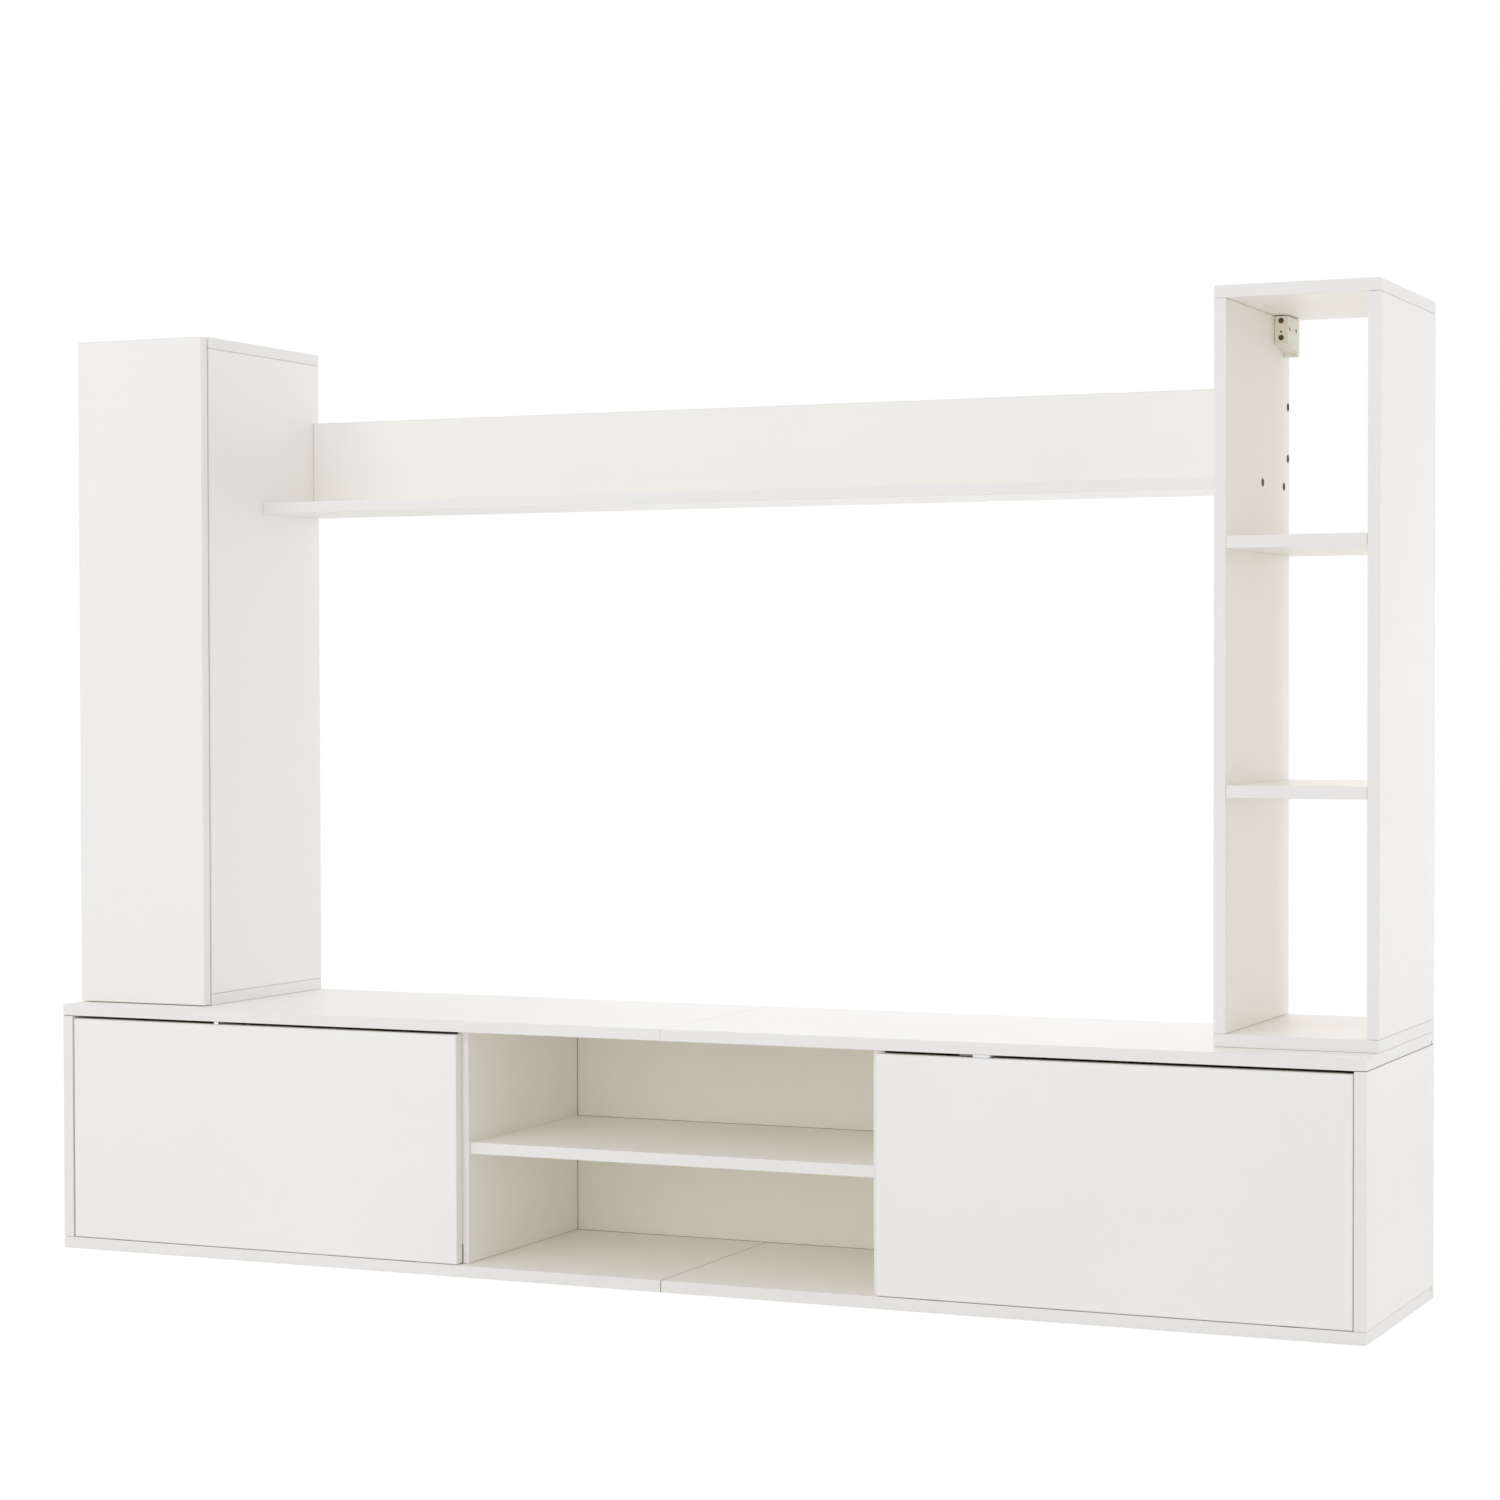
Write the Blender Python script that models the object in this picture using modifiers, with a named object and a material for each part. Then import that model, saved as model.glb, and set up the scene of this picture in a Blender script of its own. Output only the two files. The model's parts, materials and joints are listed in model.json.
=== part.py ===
"""An entertainment centre in white laminated board.

A long low base with two drop fronts round an open bay carries a closed tower on its left and an
open tower on its right. A bridge, a shelf with an upright board, joins the towers over the place
for the television. Metres, +Z up, +X to the right, the front faces -Y. The origin is under the
middle of the object, on the floor.
"""

import math

import bmesh
import bpy
from mathutils import Matrix, Vector

COLLECTION = "entertainment_center"
CUTTERS = "entertainment_center_cutters"

# Boards
BOARD = 0.015
BACK_BOARD = 0.003
SEAT = 0.0003
EDGE_ROUND = 0.0008
EDGE_SEGMENTS = 2

# Making of the shapes
OVERRUN = 0.010
WELD = 0.00001
ROUND_SIDES = 16
ARC_STEPS = 8
SMOOTH_ANGLE = math.radians(40)

# Base
BASE_WIDTH = 1.800
BASE_HEIGHT = 0.332
BASE_DEPTH = 0.345
CENTRE_BAY = 0.565
MEDIA_SHELF_RISE_SHARE = 0.4965
BACK_INSET = 0.013
GROOVE_DEPTH = 0.005

# Plates that join the halves of the base's top
JOINING_PLATE_LENGTH = 0.120
JOINING_PLATE_WIDTH = 0.025
JOINING_PLATE_THICKNESS = 0.002
JOINING_PLATE_INSET = 0.060
JOINING_SCREW_SHARES = (-0.4, -0.15, 0.15, 0.4)

# Drop fronts of the base
FLAP_LEFT_GAP = 0.0028
FLAP_RIGHT_GAP = 0.001
FLAP_TOP_GAP = 0.004
FLAP_BOTTOM_GAP = 0.001
FLAP_OVERLAP = 0.006
FLAP_PIVOT_RISE = 0.012
FLAP_PIVOT_DEPTH = 0.0045
FLAP_SWING_PLAY = 0.0005
FLAP_HINGE_INSET = 0.075

# Towers
TOWER_WIDTH = 0.200
TOWER_DEPTH = 0.285
TOWER_BAY_HEIGHT = 0.281
TOWER_BAYS = 3

# Door of the closed tower
DOOR_REVEAL = 0.001
DOOR_BACK_GAP = 0.002
DOOR_BOTTOM_GAP = 0.0012
DOOR_PIVOT_INSET = 0.005
DOOR_PIVOT_DEPTH = 0.007
DOOR_HINGE_INSET = 0.100

# Bridge
BRIDGE_DROP = 0.098
BRIDGE_DEPTH = 0.150
BRIDGE_BACK_HEIGHT = 0.119
BRIDGE_BOLT_INSET = 0.026
BRIDGE_BOLT_RADIUS = 0.0035

# Hinges of the drop fronts
HINGE_PLAY = 0.0003
PIN_RADIUS = 0.0013
PIN_PLAY = 0.0002
FLAP_EYE_RADIUS = 0.0026
FLAP_ARM_WIDTH = 0.012
FLAP_ARM_SWEEP = 0.0145
FLAP_ARM_CREST = 0.026
FLAP_ARM_LENGTH = 0.045
FLAP_FOOT_WIDTH = 0.030
FLAP_FOOT_THICKNESS = 0.0025
FLAP_FOOT_SETBACK = 0.0165
FLAP_FOOT_SINK = 0.0006
FLAP_EAR_THICKNESS = 0.003
LEAF_THICKNESS = 0.0012
LEAF_CLEARANCE = 0.0009
LEAF_HEIGHT = 0.034
LEAF_RIM = 0.0006
POCKET_SKIN = 0.0015
SCREW_HOLE_RADIUS = 0.0018
SCREW_HOLE_EDGE = 0.006
LEAF_SCREW_SHARES = (0.35, 0.75)

# Hinges of the tower door
DOOR_EYE_RADIUS = 0.002
DOOR_PIN_RADIUS = 0.001
DOOR_ARM_WIDTH = 0.011
DOOR_ARM_THICKNESS = 0.004
DOOR_ARM_LENGTH = 0.070
DOOR_ARM_BEND = 0.002
CUP_RADIUS = 0.0175
CUP_INSET = 0.0225
CUP_STEPS = 24
CUP_WALL = 0.0011
CUP_CHEEK = 0.0015
CUP_FLOOR_CLEARANCE = 0.0004
FLANGE_RIM = 0.0015
FLANGE_THICKNESS = 0.001
WING_SHIFT = 0.0055
WING_LENGTH = 0.017
WING_HEIGHT = 0.056
WING_ROUND = 0.004
PLATE_THICKNESS = 0.002
PLATE_LENGTH = 0.045
PLATE_HEIGHT = 0.032

# Push latches
LATCH_TRAVEL = 0.003
LATCH_TIP_LENGTH = 0.003
LATCH_TIP_RADIUS = 0.003
LATCH_TIP_ROUND = 0.0008
LATCH_ROD_RADIUS = 0.002
LATCH_ROD_LENGTH = 0.036
LATCH_BORE_PLAY = 0.0003
LATCH_BODY_RADIUS = 0.005
LATCH_BODY_LENGTH = 0.046
LATCH_DROP = 0.008
LATCH_SINK = 0.001
LATCH_FLANGE_WIDTH = 0.022
LATCH_FLANGE_LENGTH = 0.020
LATCH_FLANGE_DEPTH = 0.004
LATCH_ADAPTER_RISE = 0.007
TONGUE_THICKNESS = 0.0022
TONGUE_SETBACK = 0.0012
TONGUE_ROOT = 0.003
TONGUE_WIDTH = 0.0066
WIDE_TONGUE_WIDTH = 0.0214
STEP_TONGUE_WIDTH = 0.0185
STEP_TONGUE_SETBACK = 0.007
TONGUE_GAP = 0.001
FLAP_LEFT_LATCH_SHARE = 0.383
FLAP_RIGHT_LATCH_SHARE = 0.7855
DOOR_LATCH_PLACE = 0.035

# Cabinet hangers
HANGER_WIDTH = 0.017
HANGER_LENGTH = 0.056
HANGER_TOP_GAP = 0.001
HANGER_HEIGHT = 0.0355
HANGER_BELLY_HEIGHT = 0.042
HANGER_BELLY_START = 0.012
HANGER_HEEL_HEIGHT = 0.047
HANGER_HEEL_LENGTH = 0.009
HANGER_HEEL_SLOPE = 0.002
HANGER_REAR = 0.0165
HANGER_SCREW_RADIUS = 0.0035
HANGER_SCREW_DEPTH = 0.003
HANGER_SCREW_DROPS = (0.006, 0.027)
HANGER_PIN_HOLE_RADIUS = 0.0013
HANGER_PIN_HOLE_DROP = 0.0197
HANGER_SIDE_HOLE_RADIUS = 0.003
HANGER_SIDE_HOLE_DROP = 0.0158
HANGER_SIDE_HOLE_PLACES = (0.010, 0.040)
HOOK_WIDTH = 0.007
HOOK_THICKNESS = 0.0025
HOOK_BLOCK_LENGTH = 0.014
HOOK_BLOCK_HEIGHT = 0.016
HOOK_DROP = 0.009
HOOK_REACH = 0.011
HOOK_LIP = 0.011
HOOK_SLOT_PLAY = 0.0003

# Places worked out from the sizes above
HALF_WIDTH = BASE_WIDTH / 2
FRONT = -BASE_DEPTH / 2
REAR = BASE_DEPTH / 2
BASE_FLOOR = BOARD
BASE_CEILING = BASE_HEIGHT - BOARD
BACK_REAR = REAR - BACK_INSET
BACK_FRONT = BACK_REAR - BACK_BOARD
INNER_REAR = BACK_FRONT - SEAT
DIVIDER_INNER = CENTRE_BAY / 2
DIVIDER_OUTER = DIVIDER_INNER + BOARD
FLAP_LOW = BASE_FLOOR + FLAP_BOTTOM_GAP
FLAP_HIGH = BASE_CEILING - FLAP_TOP_GAP
FLAP_LEFT_OUTER = HALF_WIDTH - BOARD - FLAP_LEFT_GAP
FLAP_RIGHT_OUTER = HALF_WIDTH - BOARD - FLAP_RIGHT_GAP
FLAP_INNER = DIVIDER_OUTER - FLAP_OVERLAP
FLAP_PIVOT_Y = FRONT + FLAP_PIVOT_DEPTH
FLAP_PIVOT_Z = FLAP_LOW + FLAP_PIVOT_RISE
FLAP_SWING = math.hypot(BOARD - FLAP_PIVOT_DEPTH, FLAP_PIVOT_RISE)
DIVIDER_FRONT = FLAP_PIVOT_Y + FLAP_SWING + FLAP_SWING_PLAY
TOWER_FLOOR = BASE_HEIGHT + SEAT
TOWER_HEIGHT = TOWER_BAYS * TOWER_BAY_HEIGHT + (TOWER_BAYS + 1) * BOARD
TOWER_TOP = TOWER_FLOOR + TOWER_HEIGHT
TOWER_CEILING = TOWER_TOP - BOARD
TOWER_FRONT = REAR - TOWER_DEPTH
TOWER_INSIDE = HALF_WIDTH - TOWER_WIDTH
DOOR_REAR = TOWER_FRONT - DOOR_BACK_GAP
DOOR_FRONT = DOOR_REAR - BOARD
DOOR_LEFT = -HALF_WIDTH + DOOR_REVEAL
DOOR_RIGHT = -TOWER_INSIDE - DOOR_REVEAL
DOOR_LOW = BASE_HEIGHT + DOOR_BOTTOM_GAP
DOOR_HIGH = TOWER_TOP - DOOR_REVEAL
DOOR_PIVOT_X = DOOR_LEFT + DOOR_PIVOT_INSET
DOOR_PIVOT_Y = DOOR_FRONT + DOOR_PIVOT_DEPTH
BRIDGE_TOP = TOWER_TOP - BRIDGE_DROP
BRIDGE_HIGH = BRIDGE_TOP - BRIDGE_BACK_HEIGHT
BRIDGE_LOW = BRIDGE_HIGH - BOARD

# Turns that lay a flat outline or a turned shape into the object
OUTLINE_YZ = Matrix(((0, 0, 1, 0), (1, 0, 0, 0), (0, 1, 0, 0), (0, 0, 0, 1)))
OUTLINE_XY = Matrix.Identity(4)
OUTLINE_XZ = Matrix(((1, 0, 0, 0), (0, 0, -1, 0), (0, 1, 0, 0), (0, 0, 0, 1)))
ALONG = {
    "x": Matrix.Rotation(math.radians(90), 4, "Y"),
    "y": Matrix.Rotation(math.radians(90), 4, "X"),
    "z": Matrix.Identity(4),
}


def clear_scene():
    for obj in list(bpy.data.objects):
        bpy.data.objects.remove(obj, do_unlink=True)


def new_collection(name):
    group = bpy.data.collections.new(name)
    bpy.context.scene.collection.children.link(group)
    return group


def finish(name, colour, roughness, metallic=0):
    """A Principled material, made once for each name."""
    found = bpy.data.materials.get(name)
    if found:
        return found
    material = bpy.data.materials.new(name)
    material.use_nodes = True
    shader = material.node_tree.nodes["Principled BSDF"]
    shader.inputs["Base Color"].default_value = (*colour, 1)
    shader.inputs["Roughness"].default_value = roughness
    shader.inputs["Metallic"].default_value = metallic
    material.diffuse_color = (*colour, 1)
    return material


def laminate():
    return finish("white_laminate", (0.83, 0.825, 0.81), 0.5)


def hardboard():
    return finish("white_hardboard", (0.78, 0.77, 0.75), 0.6)


def plastic():
    return finish("white_plastic", (0.85, 0.85, 0.84), 0.4)


def steel():
    return finish("zinc_steel", (0.62, 0.62, 0.63), 0.35, 1)


def rubber():
    return finish("grey_rubber", (0.30, 0.30, 0.31), 0.8)


def add(name, mesh, place, material, carrier=None, group=COLLECTION):
    """Puts a mesh in the scene at a world place, on a carrier when it moves with one."""
    obj = bpy.data.objects.new(name, mesh)
    bpy.data.collections[group].objects.link(obj)
    obj.parent = carrier
    obj.location = Vector(place) - (carrier.location if carrier else Vector())
    if material:
        mesh.materials.append(material)
    return obj


def add_cutter(name, mesh, place, carrier=None):
    obj = add(name, mesh, place, None, carrier, CUTTERS)
    obj.hide_render = True
    obj.display_type = "WIRE"
    return obj


def pivot(name, place):
    """An empty on a joint's axis, which carries what swings about it."""
    empty = bpy.data.objects.new(name, None)
    bpy.data.collections[COLLECTION].objects.link(empty)
    empty.location = place
    return empty


def block_mesh(name, low, high):
    shape = bmesh.new()
    bmesh.ops.create_cube(shape, size=1)
    bmesh.ops.scale(shape, vec=Vector(high) - Vector(low), verts=shape.verts)
    mesh = bpy.data.meshes.new(name)
    shape.to_mesh(mesh)
    shape.free()
    return mesh


def middle(low, high):
    return (Vector(low) + Vector(high)) / 2


def block(name, low, high, material, carrier=None):
    return add(name, block_mesh(name, low, high), middle(low, high), material, carrier)


def block_cutter(name, low, high, carrier=None):
    return add_cutter(name, block_mesh(name, low, high), middle(low, high), carrier)


def round_edges(obj, width=EDGE_ROUND, segments=EDGE_SEGMENTS):
    bevel = obj.modifiers.new("Rounded edges", "BEVEL")
    bevel.width = width
    bevel.segments = segments
    bevel.limit_method = "ANGLE"


def board(name, low, high, material=None, carrier=None):
    """A cut and edged board between two corners."""
    obj = block(name, low, high, material or laminate(), carrier)
    round_edges(obj)
    return obj


def smooth(mesh):
    """Shades a mesh smooth where it is round and keeps its corners crisp."""
    mesh.shade_smooth()
    mesh.set_sharp_from_angle(angle=SMOOTH_ANGLE)
    return mesh


def rod_mesh(name, radius, length, axis):
    shape = bmesh.new()
    bmesh.ops.create_cone(
        shape, cap_ends=True, segments=ROUND_SIDES, radius1=radius, radius2=radius, depth=length
    )
    bmesh.ops.transform(shape, matrix=ALONG[axis], verts=shape.verts)
    mesh = bpy.data.meshes.new(name)
    shape.to_mesh(mesh)
    shape.free()
    return smooth(mesh)


def rod_cutter(name, place, radius, length, axis, carrier=None):
    return add_cutter(name, rod_mesh(name, radius, length, axis), place, carrier)


def combine(obj, other, operation):
    boolean = obj.modifiers.new(other.name, "BOOLEAN")
    boolean.operation = operation
    boolean.solver = "EXACT"
    boolean.object = other


def cut(obj, cutter):
    combine(obj, cutter, "DIFFERENCE")


def join(obj, other):
    combine(obj, other, "UNION")


def outline_mesh(name, points, thickness, turn):
    """A flat outline with its thickness, as a welded mesh centred on the outline's plane."""
    curve = bpy.data.curves.new(name, "CURVE")
    curve.dimensions = "2D"
    curve.fill_mode = "BOTH"
    curve.extrude = thickness / 2
    spline = curve.splines.new("POLY")
    spline.points.add(len(points) - 1)
    for point, (across, up) in zip(spline.points, points):
        point.co = (across, up, 0, 1)
    spline.use_cyclic_u = True
    drawn = bpy.data.objects.new(name, curve)
    bpy.context.scene.collection.objects.link(drawn)
    bpy.context.view_layer.update()
    evaluated = drawn.evaluated_get(bpy.context.evaluated_depsgraph_get())
    mesh = bpy.data.meshes.new_from_object(evaluated)
    bpy.data.objects.remove(drawn, do_unlink=True)
    bpy.data.curves.remove(curve)
    shape = bmesh.new()
    shape.from_mesh(mesh)
    bmesh.ops.remove_doubles(shape, verts=shape.verts, dist=WELD)
    bmesh.ops.recalc_face_normals(shape, faces=shape.faces)
    bmesh.ops.transform(shape, matrix=turn, verts=shape.verts)
    shape.to_mesh(mesh)
    shape.free()
    return smooth(mesh)


def arc(radius, start, end, steps=ARC_STEPS, centre=(0, 0)):
    """Points of an arc round a centre, between two angles in degrees."""
    turns = [math.radians(start + (end - start) * i / steps) for i in range(steps + 1)]
    return [
        (centre[0] + radius * math.cos(turn), centre[1] + radius * math.sin(turn))
        for turn in turns
    ]


def turned(name, profile, place, axis, material, carrier=None):
    """A round piece about an axis, from a profile of (radius, height) that runs down its outside."""
    mesh = bpy.data.meshes.new(name)
    mesh.from_pydata(
        [(radius, 0, height) for radius, height in profile],
        [(i, i + 1) for i in range(len(profile) - 1)],
        [],
    )
    obj = add(name, mesh, place, material, carrier)
    obj.rotation_euler = ALONG[axis].to_euler()
    screw = obj.modifiers.new("Turned", "SCREW")
    screw.steps = ROUND_SIDES
    screw.render_steps = ROUND_SIDES
    screw.use_merge_vertices = True
    screw.merge_threshold = WELD
    screw.use_smooth_shade = True
    return obj


def groove(panel, axis, face, into, low, high):
    """Cuts the groove that a thin back slides in, along a panel's inner face."""
    cut_low = [0, BACK_FRONT - SEAT, 0]
    cut_high = [0, BACK_REAR + SEAT, 0]
    along = 2 if axis == "z" else 0
    across = 2 - along
    depth = GROOVE_DEPTH + SEAT
    cut_low[along] = low - OVERRUN
    cut_high[along] = high + OVERRUN
    cut_low[across] = min(face + into * depth, face - into * OVERRUN)
    cut_high[across] = max(face + into * depth, face - into * OVERRUN)
    cut(panel, block_cutter(panel.name + "_groove", cut_low, cut_high))


def base_shell():
    """Top and bottom, each in two halves that meet in the middle, and the two ends."""
    for side, name in ((-1, "left"), (1, "right")):
        inner, outer = side * SEAT / 2, side * HALF_WIDTH
        low_x, high_x = min(inner, outer), max(inner, outer)
        top = board(f"base_top_{name}", (low_x, FRONT, BASE_CEILING), (high_x, REAR, BASE_HEIGHT))
        groove(top, "x", BASE_CEILING, 1, low_x, high_x)
        bottom = board(f"base_bottom_{name}", (low_x, FRONT, 0), (high_x, REAR, BASE_FLOOR))
        groove(bottom, "x", BASE_FLOOR, -1, low_x, high_x)
        face = side * (HALF_WIDTH - BOARD)
        end = board(
            f"base_side_{name}",
            (min(face, outer), FRONT, BASE_FLOOR + SEAT),
            (max(face, outer), REAR, BASE_CEILING - SEAT),
        )
        groove(end, "z", face, side, BASE_FLOOR, BASE_CEILING)


def base_inside():
    """The two dividers, the shelf of the open bay, and three thin backs in the grooves.

    The dividers start behind the circle that the lower rear edge of an opening front draws.
    """
    low, high = BASE_FLOOR + SEAT, BASE_CEILING - SEAT
    for side, name in ((-1, "left"), (1, "right")):
        near, far = side * DIVIDER_INNER, side * DIVIDER_OUTER
        board(
            f"divider_{name}",
            (min(near, far), DIVIDER_FRONT, low),
            (max(near, far), INNER_REAR, high),
        )
    reach = DIVIDER_INNER - SEAT
    clear_height = BASE_CEILING - BASE_FLOOR - BOARD
    shelf_low = BASE_FLOOR + clear_height * MEDIA_SHELF_RISE_SHARE
    board(
        "media_shelf",
        (-reach, DIVIDER_FRONT, shelf_low),
        (reach, INNER_REAR, shelf_low + BOARD),
    )
    joint = (DIVIDER_INNER + DIVIDER_OUTER) / 2
    end = HALF_WIDTH - BOARD + GROOVE_DEPTH
    spans = {
        "left": (-end, -joint - SEAT / 2),
        "centre": (-joint + SEAT / 2, joint - SEAT / 2),
        "right": (joint + SEAT / 2, end),
    }
    for name, (start, stop) in spans.items():
        block(
            f"base_back_{name}",
            (start, BACK_FRONT, BASE_FLOOR - GROOVE_DEPTH),
            (stop, BACK_REAR, BASE_CEILING + GROOVE_DEPTH),
            hardboard(),
        )


def joining_plate(name, y):
    """A steel plate that holds the two halves of the base's top level at their seam."""
    high = BASE_CEILING - SEAT
    plate = block(
        name,
        (-JOINING_PLATE_LENGTH / 2, y - JOINING_PLATE_WIDTH / 2, high - JOINING_PLATE_THICKNESS),
        (JOINING_PLATE_LENGTH / 2, y + JOINING_PLATE_WIDTH / 2, high),
        steel(),
    )
    for place_share in JOINING_SCREW_SHARES:
        where = (JOINING_PLATE_LENGTH * place_share, y, high)
        hole_name = f"{name}_screw_{place_share}"
        cut(plate, rod_cutter(hole_name, where, SCREW_HOLE_RADIUS, OVERRUN, "z"))


def joining_plates():
    joining_plate("top_joining_plate_front", FRONT + JOINING_PLATE_INSET)
    joining_plate("top_joining_plate_rear", INNER_REAR - JOINING_PLATE_INSET)


def flap_arm(name, place):
    """The fixed half of a flap hinge: a foot on the base's floor and a nose with the eye."""
    foot = place[2] - BASE_FLOOR - SEAT
    eye = FLAP_EYE_RADIUS
    points = arc(eye, 90, 270)
    sole = FLAP_FOOT_SINK - foot
    points += [
        (FLAP_ARM_SWEEP, -eye),
        (FLAP_ARM_SWEEP, sole),
        (FLAP_ARM_LENGTH - FLAP_FOOT_SINK, sole),
        (FLAP_ARM_CREST, eye),
    ]
    mesh = outline_mesh(name, points, FLAP_ARM_WIDTH, OUTLINE_YZ)
    arm = add(name, mesh, place, steel())
    centre = Vector(place)
    plate = block_cutter(
        name + "_foot",
        centre + Vector((-FLAP_FOOT_WIDTH / 2, FLAP_FOOT_SETBACK, -foot)),
        centre + Vector((FLAP_FOOT_WIDTH / 2, FLAP_ARM_LENGTH, FLAP_FOOT_THICKNESS - foot)),
    )
    join(arm, plate)
    hole_y = (FLAP_FOOT_SETBACK + FLAP_ARM_LENGTH) / 2
    for side in (-1, 1):
        hole_x = side * (FLAP_ARM_WIDTH + FLAP_FOOT_WIDTH) / 4
        where = centre + Vector((hole_x, hole_y, -foot))
        cut(arm, rod_cutter(f"{name}_screw_{side}", where, SCREW_HOLE_RADIUS, OVERRUN, "z"))
    bore = PIN_RADIUS + PIN_PLAY
    cut(arm, rod_cutter(name + "_eye", place, bore, FLAP_ARM_WIDTH + OVERRUN, "x"))
    return arm


def leaf_span():
    """The width of a flap hinge's leaf: the arm, an ear on each side of it, and a rim."""
    return FLAP_ARM_WIDTH + 2 * (HINGE_PLAY + FLAP_EAR_THICKNESS + LEAF_RIM)


def flap_leaf(name, place, carrier):
    """The moving half of a flap hinge: a bent leaf with two ears and the pin."""
    eye = FLAP_EYE_RADIUS
    under = eye + LEAF_CLEARANCE
    over = under + LEAF_THICKNESS
    face = BOARD - FLAP_PIVOT_DEPTH + SEAT
    back = face + LEAF_THICKNESS
    bent = [(-eye, under), (back, under), (back, LEAF_HEIGHT), (face, LEAF_HEIGHT)]
    bent += [(face, over), (-eye, over)]
    leaf = add(name, outline_mesh(name, bent, leaf_span(), OUTLINE_YZ), place, steel(), carrier)
    centre = Vector(place)
    for part_share in LEAF_SCREW_SHARES:
        where = centre + Vector((0, face, over + (LEAF_HEIGHT - over) * part_share))
        hole_name = f"{name}_screw_{part_share}"
        cut(leaf, rod_cutter(hole_name, where, SCREW_HOLE_RADIUS, OVERRUN, "y", carrier))
    ear_top = under + LEAF_THICKNESS / 2
    ear = [*arc(eye, 180, 360), (eye, ear_top), (LEAF_RIM - eye, ear_top)]
    for side in (-1, 1):
        shift = side * (FLAP_ARM_WIDTH / 2 + HINGE_PLAY + FLAP_EAR_THICKNESS / 2)
        ear_name = f"{name}_ear_{side}"
        mesh = outline_mesh(ear_name, ear, FLAP_EAR_THICKNESS, OUTLINE_YZ)
        join(leaf, add_cutter(ear_name, mesh, centre + Vector((shift, 0, 0)), carrier))
    pin_length = FLAP_ARM_WIDTH + 2 * HINGE_PLAY + FLAP_EAR_THICKNESS
    join(leaf, rod_cutter(name + "_pin", place, PIN_RADIUS, pin_length, "x", carrier))
    return leaf


def flap_pocket(flap, place, carrier):
    """Cuts the pocket that a hinge needs, open below and behind."""
    half = leaf_span() / 2 + SEAT
    high = FLAP_EYE_RADIUS + LEAF_CLEARANCE + LEAF_THICKNESS + SEAT
    low = Vector((-half, POCKET_SKIN - FLAP_PIVOT_DEPTH, -FLAP_PIVOT_RISE - OVERRUN))
    top = Vector((half, BOARD + OVERRUN, high))
    where = Vector(place)
    cut(flap, block_cutter(f"{flap.name}_pocket_{where.x:.3f}", where + low, where + top, carrier))


def flaps():
    """The two drop fronts, each on two hinges at its lower edge."""
    for side, name, far in ((-1, "left", FLAP_LEFT_OUTER), (1, "right", FLAP_RIGHT_OUTER)):
        ends = (side * FLAP_INNER, side * far)
        low_x, high_x = min(ends), max(ends)
        axis = pivot(f"flap_{name}_pivot", ((low_x + high_x) / 2, FLAP_PIVOT_Y, FLAP_PIVOT_Z))
        flap = board(
            f"flap_{name}",
            (low_x, FRONT, FLAP_LOW),
            (high_x, FRONT + BOARD, FLAP_HIGH),
            carrier=axis,
        )
        outer = side * (far - FLAP_HINGE_INSET)
        inner = side * (FLAP_INNER + FLAP_HINGE_INSET)
        for where, end in ((outer, "outer"), (inner, "inner")):
            place = (where, FLAP_PIVOT_Y, FLAP_PIVOT_Z)
            flap_pocket(flap, place, axis)
            flap_arm(f"flap_{name}_hinge_arm_{end}", place)
            flap_leaf(f"flap_{name}_hinge_leaf_{end}", place, axis)


def tower_shell(name, low_x, high_x, back):
    """A tower's cap, floor, sides and shelves, and a thin back where it has one."""
    rear = INNER_REAR if back else REAR
    top = board(f"{name}_top", (low_x, TOWER_FRONT, TOWER_CEILING), (high_x, REAR, TOWER_TOP))
    floor_high = TOWER_FLOOR + BOARD
    floor = board(f"{name}_bottom", (low_x, TOWER_FRONT, TOWER_FLOOR), (high_x, REAR, floor_high))
    side_low, side_high = floor_high + SEAT, TOWER_CEILING - SEAT
    faces = (low_x + BOARD, high_x - BOARD)
    left = board(
        f"{name}_side_left", (low_x, TOWER_FRONT, side_low), (faces[0], REAR, side_high)
    )
    right = board(
        f"{name}_side_right", (faces[1], TOWER_FRONT, side_low), (high_x, REAR, side_high)
    )
    pitch = TOWER_BAY_HEIGHT + BOARD
    for step, level in enumerate(("lower", "upper"), 1):
        low = TOWER_FLOOR + step * pitch
        board(
            f"{name}_shelf_{level}",
            (faces[0] + SEAT, TOWER_FRONT, low),
            (faces[1] - SEAT, rear, low + BOARD),
        )
    if back:
        groove(top, "x", TOWER_CEILING, 1, faces[0], faces[1])
        groove(floor, "x", floor_high, -1, faces[0], faces[1])
        groove(left, "z", faces[0], -1, side_low, side_high)
        groove(right, "z", faces[1], 1, side_low, side_high)
        tower_back(name, faces, floor_high)
    return left, right


def tower_back(name, faces, floor_high):
    """The thin back, with a notch in each upper corner for the hanger's hook."""
    high = TOWER_CEILING + GROOVE_DEPTH
    back = block(
        f"{name}_back",
        (faces[0] - GROOVE_DEPTH, BACK_FRONT, floor_high - GROOVE_DEPTH),
        (faces[1] + GROOVE_DEPTH, BACK_REAR, high),
        hardboard(),
    )
    notch_low = TOWER_CEILING - HANGER_HEEL_HEIGHT
    for side, face in ((1, faces[0]), (-1, faces[1])):
        far = face + side * (HANGER_WIDTH + SEAT)
        near = face - side * (GROOVE_DEPTH + OVERRUN)
        notch = block_cutter(
            f"{name}_back_notch_{side}",
            (min(near, far), BACK_FRONT - OVERRUN, notch_low),
            (max(near, far), BACK_REAR + OVERRUN, high + OVERRUN),
        )
        cut(back, notch)


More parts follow.
